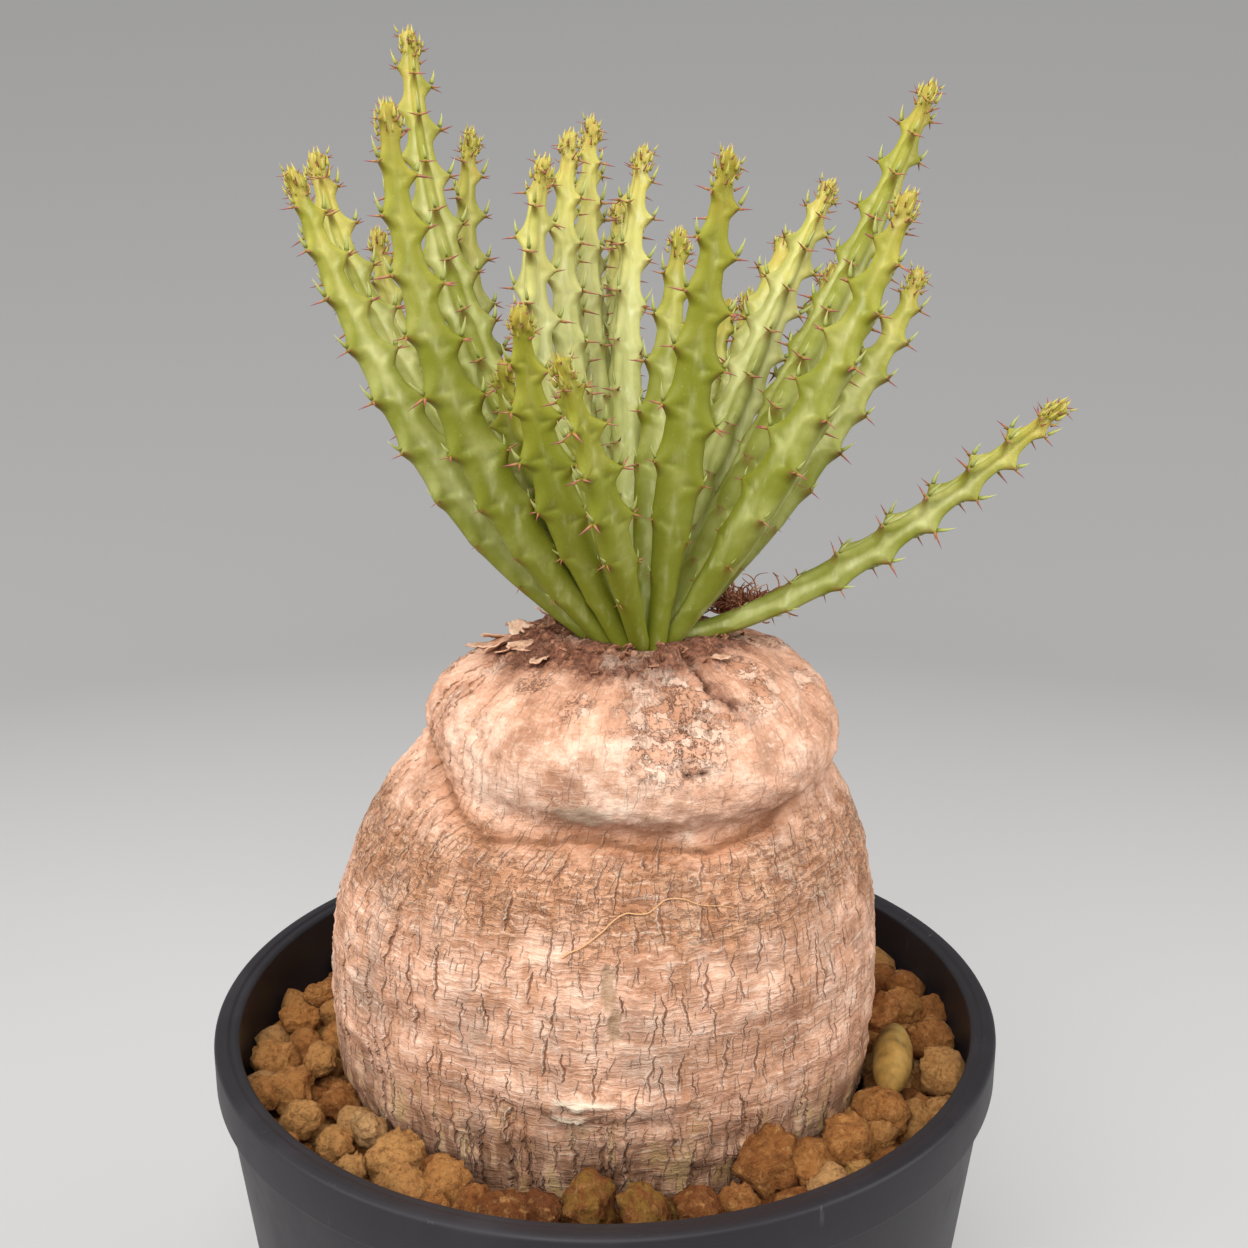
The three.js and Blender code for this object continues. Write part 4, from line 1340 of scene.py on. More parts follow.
    def build(self, finish: Finish) -> Object:
        """Raises the relief on the skin and dresses it.

        Args:
            finish: The bark.

        Returns:
            The caudex.
        """
        tree = Growth("bark_relief", {
            "Swelling": 0.7, "Strip Depth": 0.8, "Crack Depth": 0.2, "Furrow Depth": 0.6,
            "Roughness": 0.5, "Cork Depth": 2.2, "Chip Depth": 1.0, "Wrinkle Depth": 1.3,
            "Cleft Depth": 0.9, "Slit Depth": 0.6, "Shoulder Depth": 1.4, "Crease Depth": 1.2,
            "Groove Level": 134.0,
        })
        bark = tree.named("bark", "FLOAT_VECTOR")
        place = tree.out("GeometryNodeInputPosition")
        level = tree.named("level")
        lower = tree.rise(level - tree.input("Groove Level"), 3, -4)
        marked = tree.math("MAXIMUM", tree.named("peeled"), tree.named("scar"))
        whole = (1.0 - tree.math("MAXIMUM", marked, tree.named("rubbed"))) * (0.3 + 0.7 * lower)
        wide, lip = self.pattern.wide.draw(tree, bark)
        furrow, _ = self.pattern.furrow.draw(tree, bark)
        chipping = tree.math("MAXIMUM", tree.named("chipped"), tree.named("cork"))
        chipping = tree.math("MAXIMUM", chipping, tree.named("peeling"))
        lift, _, _ = self.pattern.scales(tree, place)
        wrinkles = tree.noise(bark * (0.2, 0.2, 0.05), 3.0, 0.6) + tree.noise(place / 5.0, 2.0)
        relief = (
            (tree.noise(place / 14.0, 2.0) - 0.5) * 2.0 * tree.input("Swelling")
            + (self.pattern.strips(tree, bark) - 0.5) * 2.0 * lower * tree.input("Strip Depth")
            + (tree.noise(place / 2.2, 3.0, 0.6) - 0.5) * 2.0 * tree.input("Roughness")
            + (wrinkles - 1.0) * tree.rise(level, 142, 150) * tree.input("Wrinkle Depth")
            - (wide - lip * 0.3) * whole * tree.input("Crack Depth")
            - furrow * tree.named("furrowed") * tree.input("Furrow Depth")
            + (tree.noise(place / 1.9, 3.0, 0.6) - 0.42) * tree.named("cork") * tree.input("Cork Depth")
            + (lift - 0.5) * chipping * tree.input("Chip Depth")
            - tree.named("cleft") * (0.7 + 0.6 * tree.noise(place / 1.6, 2.0)) * tree.input("Cleft Depth")
            - tree.named("slit") * tree.input("Slit Depth")
            - tree.named("shoulder") * tree.input("Shoulder Depth")
            - tree.named("crease") * tree.input("Crease Depth")
            + tree.named("scar") * 0.6 + tree.named("rim") * 0.3 - tree.named("peeled") * 0.5
        )
        buried = tree.rise(level, 80, 86)
        normal = tree.out("GeometryNodeInputNormal")
        shaped = tree.shift(tree.input("Geometry"), normal * (relief * buried))
        tree.end(tree.dressed(shaped, finish.build()))
        return tree.grow("caudex_bark", self.carrier())


@dataclass
class TornBark:
    """Loose curled flakes of bark round the collar, on the left shoulder and over the chipped patch."""

    skin: BarkSkin
    seed: int = 5
    collar_flakes: int = 90
    thickness: float = 0.18
    weld: float = 0.001
    placed: tuple[tuple[float, float, float, float, float], ...] = (
        (168, 21.5, 4.6, 5.0, 0.3), (180, 20.5, 4.4, 4.4, 0.24), (157, 21.0, 4.4, 4.2, 0.35),
        (190, 18.5, 4.0, 4.0, 0.2), (174, 16.5, 4.2, 3.6, 0.5), (202, 16.0, 3.8, 3.0, 0.3),
        (218, 17.0, 3.4, 2.6, 0.2), (148, 19.0, 4.0, 3.6, 0.4), (130, 14.5, 4.0, 2.6, 1.0),
        (143, 15.0, 3.8, 2.8, 0.8), (118, 15.0, 3.2, 2.6, 0.7), (312, 15.5, 3.2, 1.8, 0.3),
    )
    leafy: tuple[float, float] = (115.0, 215.0)

    def carrier(self) -> Mesh:
        """One point for each flake, with the way that it faces.

        Returns:
            The mesh.
        """
        random = np.random.default_rng(self.seed)
        body = self.skin.caudex
        rows = list(self.placed)
        for _ in range(self.collar_flakes):
            azimuth = random.uniform(120, 380)
            reach = body.collar_radius + random.normal(-0.6, 1.9)
            loose = 1.0 if self.leafy[0] < azimuth < self.leafy[1] else 0.55
            long = (1.0 + 2.2 * random.random() ** 2) * loose
            rows.append((azimuth, reach, long, random.uniform(0.7, 2.0) * loose, random.uniform(0.05, 0.8)))
        azimuth, reach, long, wide, tilt = np.array(rows, float).T
        angle = np.radians(azimuth)
        places = body.crown(reach, angle)
        ahead = body.crown(reach + 0.5, angle) - places
        ahead /= np.linalg.norm(ahead, axis=1)[:, None]
        sideways = np.stack([-np.sin(angle), np.cos(angle), 0 * angle], 1)
        normal = np.cross(ahead, sideways)
        twist = random.normal(0, 0.9, len(rows))[:, None]
        ahead = ahead * np.cos(twist) + sideways * np.sin(twist)
        lean = ahead * np.cos(tilt)[:, None] + normal * np.sin(tilt)[:, None]
        tone = random.uniform(0, 0.55, len(rows))
        tone[:len(self.placed)] += 0.6
        return point_mesh("flake_points", places - normal * 0.1, lean=lean, normal=normal,
                          extent=np.stack([wide, np.ones_like(wide), long], 1), tone=tone)

    def build(self, finish: Finish) -> Object:
        """Curls the flakes and stands them on the bark.

        Args:
            finish: The bark of the flakes.

        Returns:
            The flakes.
        """
        tree = Growth("torn_bark", {"Thickness": self.thickness, "Curl": 0.35, "Raggedness": 0.5})
        inputs = {"Size X": 1.0, "Size Y": 1.0, "Vertices X": 7, "Vertices Y": 8}
        grid = tree.out("GeometryNodeMeshGrid", inputs)
        place = tree.out("GeometryNodeInputPosition")
        rise = place.part(1) + 0.5
        bend = tree.input("Curl") * (rise * rise + place.part(0) * place.part(0) * 1.6)
        sheet = tree.place(grid, tree.vector(place.part(0) * (1.1 - 0.6 * rise * rise), bend, rise))
        points = tree.out("GeometryNodeMeshToPoints", {0: tree.input("Geometry")})
        points = tree.store(points, "offset", tree.random(0.0, 500.0, 1))
        inputs = {0: tree.named("lean", "FLOAT_VECTOR"), 1: tree.named("normal", "FLOAT_VECTOR")}
        turned = tree.out("FunctionNodeAxesToRotation", inputs, primary_axis="Z", secondary_axis="Y")
        flakes = tree.planted(points, sheet, turned, tree.named("extent", "FLOAT_VECTOR"))
        flakes = tree.out("GeometryNodeRealizeInstances", {0: flakes})
        cloud = tree.noise(place / 0.9 + tree.named("offset"), output="Color")
        flakes = tree.shift(flakes, (cloud - (0.5, 0.5, 0.5)) * tree.input("Raggedness") * 2.0)
        solid = tree.out("GeometryNodeExtrudeMesh", {"Mesh": flakes, "Offset Scale": tree.input("Thickness"),
                                                     "Individual": False}, mode="FACES")
        both = tree.joined(solid, tree.out("GeometryNodeFlipFaces", {0: flakes}))
        whole = tree.out("GeometryNodeMergeByDistance", {0: both, "Distance": self.weld})
        tree.end(tree.dressed(whole, finish.build()))
        return tree.grow("torn_bark_flakes", self.carrier())


@dataclass(frozen=True)
class FlakeBark(Finish):
    """Thin dry bark, from dark brown to pale pink-grey by the flake."""

    def paint(self, nodes: Skin) -> Surface:
        """Works out the flakes' surface.

        Args:
            nodes: The material's tree.

        Returns:
            Colour, roughness and height in millimetres.
        """
        place = nodes.place()
        cloud = nodes.noise(place / 1.2, 4.0, 0.68)
        share = nodes.mark("tone") * 0.5 + cloud * 0.8 - 0.15
        shades = {0.15: "50301f", 0.35: "84573d", 0.55: "b58467", 0.75: "dcb294", 0.95: "eccdb4"}
        return nodes.ramp(share, shades), 0.85, nodes.noise(place * 2.4, 3.0) * 0.15


@dataclass
class Threads:
    """Thin round strands along given lines: dry fibres behind the crown and a root across the bark."""

    name: str
    lines: list[np.ndarray]
    radii: list[float]
    tones: list[float]
    sides: int = 6

    def build(self, finish: Finish) -> Object:
        """Makes the strands.

        Args:
            finish: Their surface.

        Returns:
            The strands.
        """
        points, edges, radius, tone = [], [], [], []
        for line, size, shade in zip(self.lines, self.radii, self.tones):
            first, share = len(points), np.linspace(0, 1, len(line))
            points += list(line)
            edges += [(first + i, first + i + 1) for i in range(len(line) - 1)]
            radius += list(size * (1 - 0.6 * share ** 2))
            tone += [shade] * len(line)
        marks = {"thick": np.array(radius), "tone": np.array(tone)}
        mesh = point_mesh(f"{self.name}_lines", np.array(points), edges, **marks)
        tree = Growth(self.name, {"Thickness": 1.0})
        curves = tree.out("GeometryNodeMeshToCurve", {0: tree.input("Geometry")})
        ring = tree.out("GeometryNodeCurvePrimitiveCircle", {"Resolution": self.sides, "Radius": 1.0})
        scale = tree.named("thick") * tree.input("Thickness")
        inputs = {"Curve": curves, "Profile Curve": ring, "Scale": scale, "Fill Caps": True}
        tree.end(tree.dressed(tree.out("GeometryNodeCurveToMesh", inputs), finish.build()))
        return tree.grow(self.name, mesh)


@dataclass
class FibreTuft:
    """The curly remains of old branches behind the crown."""

    centre: tuple[float, float, float] = (21.8, 10.5, 156.6)
    half: tuple[float, float, float] = (5.4, 4.2, 3.4)
    fibres: int = 280
    seed: int = 9
    long_loops: int = 14

    def strands(self) -> Threads:
        """Draws the curly lines.

        Returns:
            The strands.
        """
        random = np.random.default_rng(self.seed)
        lines, radii, tones = [], [], []
        for number in range(self.fibres):
            loop = number < self.long_loops
            turn, lift = random.uniform(0, TURN), random.uniform(0.2, 2.4)
            side = np.array([math.cos(turn), math.sin(turn), 0])
            heading = side + np.array([0, 0, 1.6 if loop else lift])
            heading /= np.linalg.norm(heading)
            other = np.cross(heading, [0.3, 0.2, 1.0])
            other /= np.linalg.norm(other)
            third = np.cross(heading, other)
            start = np.array(self.centre) + np.array(self.half) * side * random.uniform(0, 0.75)
            share = np.linspace(0, 1, 22 if loop else 14)[:, None]
            reach = random.uniform(8, 12) if loop else random.uniform(3, 6.5)
            curl = random.uniform(1.2, 2.2) if loop else random.uniform(0.4, 1.2)
            wind = share * random.uniform(1.2, 2.6) * TURN / 2 + random.uniform(0, TURN)
            line = start + heading * reach * share
            line += curl * share * (other * np.cos(wind) + third * np.sin(wind))
            line[:, 2] -= (2.5 if loop else 1.5) * share[:, 0] ** 2
            lines.append(line)
            radii.append(random.uniform(0.12, 0.18) if loop else random.uniform(0.11, 0.24))
            tones.append(random.uniform(0.5, 1.0) if loop else random.uniform(0.05, 0.75))
        return Threads("dry_fibres", lines, radii, tones)


@dataclass
class RootThread:
    """The one fine root that lies across the front of the bark."""

    caudex: Caudex
    route: tuple[tuple[float, float], ...] = (
        (-98.5, 121.6), (-95.0, 122.6), (-91.5, 124.6), (-88.0, 126.0), (-84.5, 127.2), (-80.0, 127.4),
        (-76.0, 128.4), (-71.5, 128.6), (-67.0, 127.6), (-61.5, 126.6), (-56.0, 126.4),
    )
    clearance: float = 0.3
    radius: float = 0.115

    def strands(self) -> Threads:
        """Lays the root on the bark.

        Returns:
            The one strand.
        """
        steps = np.linspace(0, len(self.route) - 1, 60)
        azimuth = np.interp(steps, range(len(self.route)), [place[0] for place in self.route])
        height = np.interp(steps, range(len(self.route)), [place[1] for place in self.route])
        height += 0.25 * np.sin(steps * 2.3)
        line = self.caudex.flank(height, np.radians(azimuth))
        outward = np.stack([np.cos(np.radians(azimuth)), np.sin(np.radians(azimuth)), 0 * azimuth], 1)
        return Threads("root_thread", [line + outward * self.clearance], [self.radius], [1.0])


@dataclass(frozen=True)
class StemLine:
    """Where one stem springs from, bends and ends."""

    foot: tuple[float, float]
    knee: tuple[float, float, float]
    tip: tuple[float, float, float]
    tone: float = 0.5
    ribs: int = 3
    girth: float = 1.0


# The fourth value, tone, pales and slims a stem; its colour is partly the stem's own and partly painted
# shade, with low tones keeping the front stems darker.
STEM_LINES = (
    StemLine((8.5, 204), (-25, -5, 183), (-42, -6, 221), 0.45),
    StemLine((8.5, 180), (-30, 6, 194), (-42, 10, 225), 0.6, 4),
    StemLine((8.5, 228), (-19, -18, 190), (-26, -22, 227), 0.3),
    StemLine((4.9, 150), (-21, 12, 201), (-29, 18, 243), 0.5, 4),
    StemLine((8.5, 132), (-19, 20, 192), (-21, 26, 230), 0.6),
    StemLine((8.5, 156), (-27, 16, 188), (-36, 24, 215), 0.7),
    StemLine((8.5, 252), (-7, -18, 182), (-10, -26, 203), 0.2, 3, 0.94),
    StemLine((8.5, 276), (-1, -25, 182), (-5, -33, 197), 0.2, 3, 0.86),
    StemLine((4.9, 240), (-9, -9, 177), (-13, -13, 196), 0.3),
    StemLine((1.6, 150), (-5, 7, 193), (-5, 12, 228), 0.8, 4),
    StemLine((4.9, 195), (-9, -2, 193), (-8, -1, 223), 0.8),
    StemLine((4.9, 105), (-2, 15, 197), (-2, 20, 231), 0.9, 4),
    StemLine((1.6, 330), (3, 12, 194), (6, 22, 227), 0.9, 4),
    StemLine((8.5, 108), (1, 23, 189), (2, 34, 220), 0.9),
    StemLine((4.9, 285), (8, 3, 187), (11, 8, 214), 0.4),
    StemLine((8.5, 300), (12, -14, 195), (16, -18, 222), 0.2),
    StemLine((4.9, 60), (14, 16, 185), (20, 28, 204), 0.5),
    StemLine((8.5, 84), (18, 27, 185), (24, 37, 206), 0.5),
    StemLine((4.9, 15), (22, 12, 193), (35, 22, 222), 0.7, 4),
    StemLine((8.5, 60), (21, 21, 193), (30, 34, 215), 0.6),
    StemLine((8.5, 36), (28, 23, 188), (38, 38, 210), 0.5),
    StemLine((4.9, 330), (31, 7, 198), (48, 14, 235), 0.4),
    StemLine((8.5, 324), (27, -14, 187), (39, -18, 217), 0.35),
    StemLine((8.5, 12), (38, 17, 188), (50, 26, 209), 0.5),
    StemLine((8.5, 348), (35.5, -3, 166.6), (65, -4, 190), 0.5, 4, 0.76),
)


@dataclass
class StemTuft:
    """The ribbed, toothed stems, each with its spines, its small leaves and its crowded tip."""

    caudex: Caudex
    lines: tuple[StemLine, ...] = STEM_LINES
    samples: int = 64
    sink: float = 3.0
    gather: float = 0.68
    forward: float = 3.4
    overlap: float = 0.35
    foot_radius: float = 1.45
    core_radius: float = 2.5
    tip_radius: float = 0.9
    swell_length: float = 24.0
    stout: float = 1.1
    slim: float = 0.94
    valley_share: float = 0.84
    crest_height: float = 0.55
    low_tooth: float = 1.0
    high_tooth: float = 1.9
    tooth_pitch: float = 8.8
    tip_crowding: float = 3.0
    notch: float = 0.24
    shoulder: float = 0.45
    bare_length: float = 9.0
    twist: float = 0.5
    twist_per_stem: float = 1.7
    most_rows: int = 15
    rings: int = 236
    columns: int = 36
    tip_leaves: int = 16
    tip_spines: int = 12

    def carrier(self) -> tuple[Mesh, list[float]]:
        """The lines that the stems follow, each a little sunk in the crown.

        Returns:
            The mesh of lines, and each stem's length above the crown.
        """
        points, edges, numbers, axes, lengths = [], [], [], [], []
        for number, line in enumerate(self.lines):
            radius, azimuth = line.foot
            aside = radius * self.gather * math.cos(math.radians(azimuth))
            ahead = radius * self.gather * math.sin(math.radians(azimuth)) - self.forward
            away, facing = np.array([math.hypot(aside, ahead)]), np.array([math.atan2(ahead, aside)])
            start = self.caudex.crown(away, facing)[0]
            end = np.array(line.tip, float)
            bend = 2 * np.array(line.knee, float) - (start + end) / 2
            share = np.linspace(0, 1, self.samples)[:, None]
            curve = (1 - share) ** 2 * start + 2 * share * (1 - share) * bend + share ** 2 * end
            lengths.append(float(np.linalg.norm(np.diff(curve, axis=0), axis=1).sum()))
            down = (start - bend) / np.linalg.norm(start - bend)
            curve = np.concatenate([[start + self.sink * down], curve])
            axis = np.cross(bend - start, end - start)
            first = len(points)
            points += list(curve)
            edges += [(first + i, first + i + 1) for i in range(self.samples)]
            numbers += [number] * len(curve)
            axes += [axis / np.linalg.norm(axis)] * len(curve)
        mesh = point_mesh("stem_lines", np.array(points), edges, stem=np.array(numbers), axis=np.array(axes))
        return mesh, lengths

    def build(self, flesh: Finish, horn: Finish, leaf: Finish) -> list[Object]:
        """Grows every stem.

        Args:
            flesh: The stems' skin.
            horn: The spines.
            leaf: The small leaves.

        Returns:
            The stems, in order.
        """
        mesh, lengths = self.carrier()
        tree = StemGrowth(self).build(flesh, horn, leaf)
        stems = []
        for number, (line, length) in enumerate(zip(self.lines, lengths)):
            girth = (self.stout - (self.stout - self.slim) * line.tone) * line.girth
            values = {"Number": number, "Length": length, "Girth": girth}
            values.update({"Tone": line.tone, "Ribs": line.ribs})
            stems.append(tree.grow(f"green_stem_{number + 1:02d}", mesh, values))
        return stems


class StemGrowth:
    """The tree that grows one stem of the tuft along its line."""

    def __init__(self, tuft: StemTuft) -> None:
        """Adds the tree's named inputs.

        Args:
            tuft: The sizes.
        """
        self.tuft = tuft
        self.tree = Growth("stem", {
            "Number": 0, "Length": 90.0, "Tone": 0.5, "Ribs": 3, "Girth": 1.0, "Sink": tuft.sink,
            "Core Radius": tuft.core_radius, "Tip Radius": tuft.tip_radius, "Foot Radius": tuft.foot_radius,
            "Low Tooth": tuft.low_tooth, "High Tooth": tuft.high_tooth, "Tooth Pitch": tuft.tooth_pitch,
            "Tip Crowding": tuft.tip_crowding, "Bare Length": tuft.bare_length,
            "Spine Length": 2.3, "Spine Radius": 0.22, "Leaf Length": 2.3, "Leaf Radius": 0.34,
        })
        tree = self.tree
        self.number = tree.input("Number")
        self.length = tree.input("Length")
        self.ribs = tree.input("Ribs")
        inputs = {2: tree.named("stem", "INT"), 3: self.number}
        is_own = tree.out("FunctionNodeCompare", inputs, data_type="INT", operation="EQUAL")
        inputs = {0: tree.input("Geometry"), 1: is_own}
        split = tree.node("GeometryNodeSeparateGeometry", inputs, domain="POINT")
        self.own = tree.out("GeometryNodeMeshToCurve", {0: Field(tree, split.outputs[0])})
        self.others = Field(tree, split.outputs[1])

    def frame_at(self, distance: Field) -> tuple[Field, Field, Field, Field]:
        """Place and directions at a distance along the stem.

        Args:
            distance: The distance above the crown.

        Returns:
            Centre, direction along, direction across and the axis of the bend.
        """
        tree = self.tree
        axis = tree.named("axis", "FLOAT_VECTOR")
        inputs = {"Curves": self.own, 1: axis, "Length": distance + tree.input("Sink")}
        sample = tree.node("GeometryNodeSampleCurve", inputs, mode="LENGTH", data_type="FLOAT_VECTOR")
        bend_axis, centre, along = (Field(tree, sample.outputs[i]) for i in (0, 1, 2))
        return centre, along, bend_axis.cross(along), bend_axis

    def outward(self, distance: Field, turn: Field) -> tuple[Field, Field, Field]:
        """Place, direction out and direction along, at an angle about the stem's line."""
        centre, along, across, axis = self.frame_at(distance)
        return centre, across * self.tree.math("COSINE", turn) + axis * self.tree.math("SINE", turn), along

    def kept_clear(self, radius: Field, centre: Field) -> Field:
        """Presses a radius in where a neighbour is near."""
        inputs = {0: self.others, "Sample Position": centre}
        near = self.tree.out("GeometryNodeProximity", inputs, output=1, target_element="EDGES")
        return self.tree.math("SMOOTH_MIN", radius, near / 2.0 + self.tuft.overlap, 0.4)

    def core(self, distance: Field) -> Field:
        """Radius of the stem without its ribs.

        Args:
            distance: Distance along the stem, in millimetres.

        Returns:
            The radius there.
        """
        tree = self.tree
        foot, core, tip = (tree.input(f"{name} Radius") for name in ("Foot", "Core", "Tip"))
        girth = tree.input("Girth")
        swell = tree.rise(distance, 0.0, self.tuft.swell_length)
        taper = tree.rise(distance / self.length, 0.35, 1.0)
        return foot + (core * girth - foot) * swell + (tip - core) * girth * taper

    def turn_of(self, rib: Field, distance: Field) -> Field:
        """Angle at which a rib stands about the stem's line."""
        spin = self.number * self.tuft.twist_per_stem + distance / self.length * self.tuft.twist
        return rib * TURN / self.ribs + spin

    def tooth_count(self, distance: Field) -> Field:
        """How many teeth of one rib lie between a place and the tip."""
        pitch, crowd = self.tree.input("Tooth Pitch"), self.tree.input("Tip Crowding")
        left = self.tree.math("MAXIMUM", self.length - distance, 0.0)
        return (left + self.tree.math("SQRT", left * left + 4.0 * crowd * pitch * left)) / (2.0 * pitch)

    def tooth_distance(self, count: Field) -> Field:
        """Where the tooth with that many teeth above it stands."""
        pitch, crowd = self.tree.input("Tooth Pitch"), self.tree.input("Tip Crowding")
        return self.length - pitch * count * count / (count + crowd)

    def tooth_size(self, distance: Field) -> Field:
        """How far a tooth stands out of the core.

        Args:
            distance: The tooth's distance along the stem, in millimetres.

        Returns:
            Its height, in millimetres.
        """
        tree = self.tree
        low, high = tree.input("Low Tooth"), tree.input("High Tooth")
        young = 0.3 + 0.7 * tree.rise(self.length - distance, 1.0, 12.0)
        grown = low + (high - low) * tree.rise(distance / self.length, 0.15, 0.6)
        return grown * young * (0.3 + 0.7 * tree.rise(distance, 10.0, 32.0)) * tree.rise(distance, 3.0, 8.0)

    def body(self) -> Field:
        """The ribbed, toothed flesh.

        Returns:
            Its mesh, with the attributes that its finish reads.
        """
        tree, tuft = self.tree, self.tuft
        inputs = {"Vertices": tuft.columns, "Side Segments": tuft.rings, "Radius": 1.0, "Depth": 1.0}
        cylinder = tree.out("GeometryNodeMeshCylinder", inputs, fill_type="TRIANGLE_FAN")
        place = tree.out("GeometryNodeInputPosition")
        share = place.part(2) + 0.5
        distance = share * (self.length + tree.input("Sink")) - tree.input("Sink")
        angle = tree.math("ARCTAN2", place.part(1), place.part(0)) * self.ribs / TURN
        rib = tree.math("ROUND", angle)
        aside = (angle - rib) * 2.0
        spread = tree.math("SIGN", aside) * abs(aside) ** 1.35
        count = self.tooth_count(distance) - rib / self.ribs
        below = count - tree.math("FLOOR", count)
        under = tree.math("MAXIMUM", 1.0 - below / tuft.notch, 0.0) ** 1.6
        over = tree.math("MAXIMUM", (below - tuft.shoulder) / (1 - tuft.shoulder), 0.0) ** 2.2
        tooth = tree.math("MAXIMUM", under, over)
        width = 0.3 + 0.42 * (1.0 - tooth)
        crest = tree.math("EXPONENT", (spread / width) ** 2.0 * -1.0)
        centre, outward, along = self.outward(distance, self.turn_of(rib + spread / 2.0, distance))
        left = self.length - distance
        ribbed = tree.rise(distance, 4.0, 28.0) * (0.35 + 0.65 * tree.rise(left, 1.0, 12.0))
        hollow = 1.0 - (1.0 - tuft.valley_share) * ribbed * (1.0 - crest)
        cap = tree.math("SQRT", 1.0 - tree.math("MAXIMUM", 1.0 - left / 1.4, 0.0) ** 2.0)
        radius = self.core(distance) * hollow
        radius = radius + crest * (tuft.crest_height * ribbed + tooth * self.tooth_size(distance))
        is_side = (place.part(0) * place.part(0) + place.part(1) * place.part(1)).above(0.25)
        target = centre + outward * (self.kept_clear(radius, centre) * cap * is_side)
        mesh = tree.store(cylinder, "along", distance / self.length)
        mesh = tree.store(mesh, "crest", crest)
        shield = tree.rise(below, 0.2, 0.04) * tree.rise(abs(spread), 0.26, 0.1)
        mesh = tree.store(mesh, "shield", shield * tree.rise(distance, 5.0, 9.0))
        mesh = tree.store(mesh, "tone", tree.input("Tone"))
        return tree.place(mesh, target + along * (tooth * crest * 0.4))

    def spike(self, sides: int, rings: int, bulge: float, bend: float) -> Field:
        """A slender closed spike one unit long and one unit in radius, along +Z.

        Args:
            sides: How many sides it has.
            rings: How many rings.
            bulge: How stout its middle is, from 0 for a cone.
            bend: How far its tip leans to +X, in radii.

        Returns:
            Its mesh, with its rise from root to tip.
        """
        tree = self.tree
        inputs = {"Vertices": sides, "Side Segments": rings, "Fill Segments": 1, "Radius Top": 0.0,
                  "Radius Bottom": 1.0, "Depth": 1.0}
        cone = tree.out("GeometryNodeMeshCone", inputs, fill_type="TRIANGLE_FAN")
        place = tree.out("GeometryNodeInputPosition")
        rise = place.part(2)
        cone = tree.store(cone, "rise", rise)
        fuller = 1.0 + bulge * rise * 4.0 * (1.0 - rise)
        lean = rise * rise * bend
        return tree.place(cone, tree.vector(place.part(0) * fuller + lean, place.part(1) * fuller, rise))

    def aim_at(self, direction: Field, side: Field) -> Field:
        """The rotation that turns +Z to a direction and +X near a side."""
        inputs = {0: direction, 1: side}
        return self.tree.out("FunctionNodeAxesToRotation", inputs, primary_axis="Z", secondary_axis="X")

    def teeth(self) -> Field:
        """One point on the tip of each tooth, with its outward and upward directions.

        Returns:
            The points.
        """
        tree = self.tree
        index = tree.out("GeometryNodeInputIndex")
        row = tree.math("FLOOR", index / self.ribs)
        rib = index - row * self.ribs - 1.0
        distance = self.tooth_distance(row + 1.0 + rib / self.ribs)
        centre, outward, along = self.outward(distance, self.turn_of(rib, distance))
        radius = self.core(distance) + self.tuft.crest_height + self.tooth_size(distance)
        place = centre + outward * self.kept_clear(radius, centre) + along * 0.4
        most = self.ribs * self.tuft.most_rows
        points = tree.out("GeometryNodePoints", {"Count": most, "Position": place})
        points = tree.store(points, "outward", outward, "FLOAT_VECTOR")
        points = tree.store(points, "upward", along, "FLOAT_VECTOR")
        points = tree.store(points, "along", distance / self.length)
        points = tree.store(points, "below_tip", self.length - distance)
        kept = distance.above(tree.input("Bare Length"))
        return tree.out("GeometryNodeSeparateGeometry", {0: points, 1: kept}, domain="POINT")

    def build(self, flesh: Finish, horn: Finish, leaf: Finish) -> Growth:
        """Finishes the tree.

        Args:
            flesh: The stems' skin.
            horn: The spines.
            leaf: The small leaves.

        Returns:
            The tree.
        """
        tree = self.tree
        points = self.teeth()
        outward = tree.named("outward", "FLOAT_VECTOR")
        upward = tree.named("upward", "FLOAT_VECTOR")
        sideways = outward.cross(upward)
        spine = self.spike(6, 4, 0.0, 0.0)
        blade = self.spike(6, 5, 0.35, 1.6)
        full = 0.5 + 0.5 * tree.rise(tree.named("below_tip"), 0.5, 9.0)
        full = full * (0.5 + 0.5 * tree.rise(tree.named("along"), 0.2, 0.55))
        horn_material, leaf_material = horn.build(), leaf.build()
        parts = [tree.dressed(self.body(), flesh.build())]
        radius, length = tree.input("Spine Radius"), tree.input("Spine Length")
        for side, seed in ((1.0, 3), (-1.0, 4)):
            wobble = tree.random(-0.25, 0.25, seed)
            aim = outward * 0.7 + sideways * side * (0.75 + wobble) + upward * (wobble - 0.05)
            scale = tree.vector(radius, radius, length) * tree.random(0.75, 1.15, seed + 10) * full
            rooted = tree.shift(points, outward * -0.3 + sideways * side * 0.14 - upward * 0.1)
            parts.append(tree.dressed(tree.planted(rooted, spine, tree.aimed(aim), scale), horn_material))
        radius, length = tree.input("Leaf Radius"), tree.input("Leaf Length")
        rooted = tree.shift(points, upward * 0.45 - outward * 0.45)
        scale = tree.vector(radius, radius * 0.8, length * tree.random(0.7, 1.25, 7)) * full
        aim = upward + outward * (0.75 + tree.random(-0.25, 0.25, 6))
        turned = self.aim_at(aim, outward * -1.0)
        parts.append(tree.dressed(tree.planted(rooted, blade, turned, scale), leaf_material))
        leaves = self.crowded(blade, self.tuft.tip_leaves, 3.4, 0.1, (0.27, 0.22, 1.7))
        spines = self.crowded(spine, self.tuft.tip_spines, 4.2, 1.1, (0.2, 0.2, 1.5))
        parts += [tree.dressed(leaves, leaf_material), tree.dressed(spines, horn_material)]
        tree.end(*parts)
        return tree

